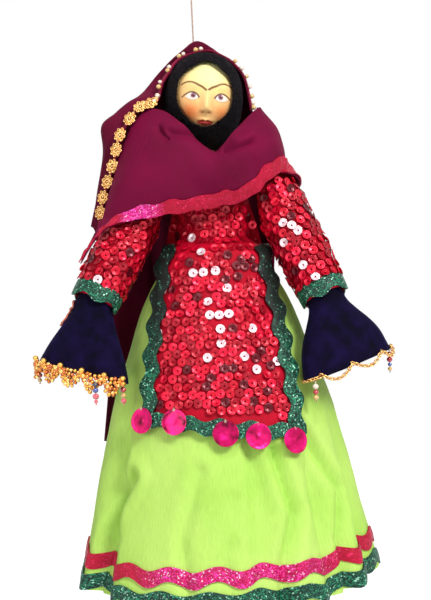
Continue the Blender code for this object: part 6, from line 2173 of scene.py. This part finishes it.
bodice = cloth("flowered_bodice", bodice_point, (64, 24), (0.12, 0.055), CLOTH, wrap=True)
settle(bodice, "doll", bodice_finish, ["lower_bodice"])
print("hidden doll: scarf and bodice")

# %% [markdown]
# ## The studio
# The photograph shows the doll hanging before plain white, lit softly from the front and above. One broad lamp stands
# to the right of the camera, a second one fills from the left and a small one from above picks out the foil. The
# white surround comes from the floor's own light and the world's, which the camera and shiny things see and cloth
# does not, so the light on the doll stays at a plain level and the floor keeps the doll's shadow.

# %% Floor, wall and lamps
floor_bm = bmesh.new()
bmesh.ops.create_grid(floor_bm, x_segments=1, y_segments=1, size=3.0)
bmesh.ops.translate(floor_bm, verts=floor_bm.verts, vec=(0.0, 1.0, -0.62))
floor = to_object("studio_floor", floor_bm, 30)
FLOOR_GLOW = 0.82
SURROUND_GREY = 0.22
# The rays that see the white surround.
SEEN_BY = ("Is Camera Ray", "Is Glossy Ray", "Is Transmission Ray")
paper_look = Finish("paper_look", Roughness=0.9)
paper = paper_look.noise(paper_look.place(), 0.08, 2)
kinds = [paper_look.node("LightPath", output=kind) for kind in SEEN_BY]
shown = paper_look.math("ADD", paper_look.math("ADD", kinds[0], kinds[1]), kinds[2])
floor.data.materials.append(paper_look.wear(
    Base_Color=paper_look.ramp(paper, (0.3, 0.78), (0.7, 0.80)),
    Emission_Color=(1.0, 1.0, 1.0, 1.0),
    Emission_Strength=paper_look.math("MULTIPLY", shown, FLOOR_GLOW),
))

world = bpy.data.worlds.new("studio")
bpy.context.scene.world = world
world.use_nodes = True
nodes = world.node_tree.nodes
links = world.node_tree.links
nodes.clear()
rays = nodes.new("ShaderNodeLightPath")
shown = rays.outputs[SEEN_BY[0]]
for kind in SEEN_BY[1:]:
    either = nodes.new("ShaderNodeMath")
    either.operation = "ADD"
    links.new(shown, either.inputs[0])
    links.new(rays.outputs[kind], either.inputs[1])
    shown = either.outputs[0]
both = nodes.new("ShaderNodeMixShader")
links.new(shown, both.inputs[0])
for slot, grey in ((1, SURROUND_GREY), (2, 1.0)):
    light = nodes.new("ShaderNodeBackground")
    light.inputs["Color"].default_value = (grey, grey, grey, 1.0)
    links.new(light.outputs[0], both.inputs[slot])
out = nodes.new("ShaderNodeOutputWorld")
links.new(both.outputs[0], out.inputs["Surface"])


DOLL_MIDDLE = Vector((0.0, 0.0, -0.24))


def lamp(name, place, size, power):
    """A square lamp that faces the middle of the doll."""
    data = bpy.data.lights.new(name, "AREA")
    data.size = size
    data.energy = power
    lit = bpy.data.objects.new(name, data)
    bpy.context.scene.collection.objects.link(lit)
    lit.location = place
    lit.rotation_euler = (DOLL_MIDDLE - Vector(place)).to_track_quat("-Z", "Y").to_euler()


lamp("key_lamp", (0.85, -1.15, 0.75), 0.5, 27.0)
lamp("fill_lamp", (-1.2, -1.2, 0.15), 0.9, 9.0)
lamp("small_lamp", (0.1, -0.8, 0.9), 0.15, 4.0)
bpy.context.scene.view_settings.view_transform = "Standard"
print("studio: three lamps, a floor and a white surround")
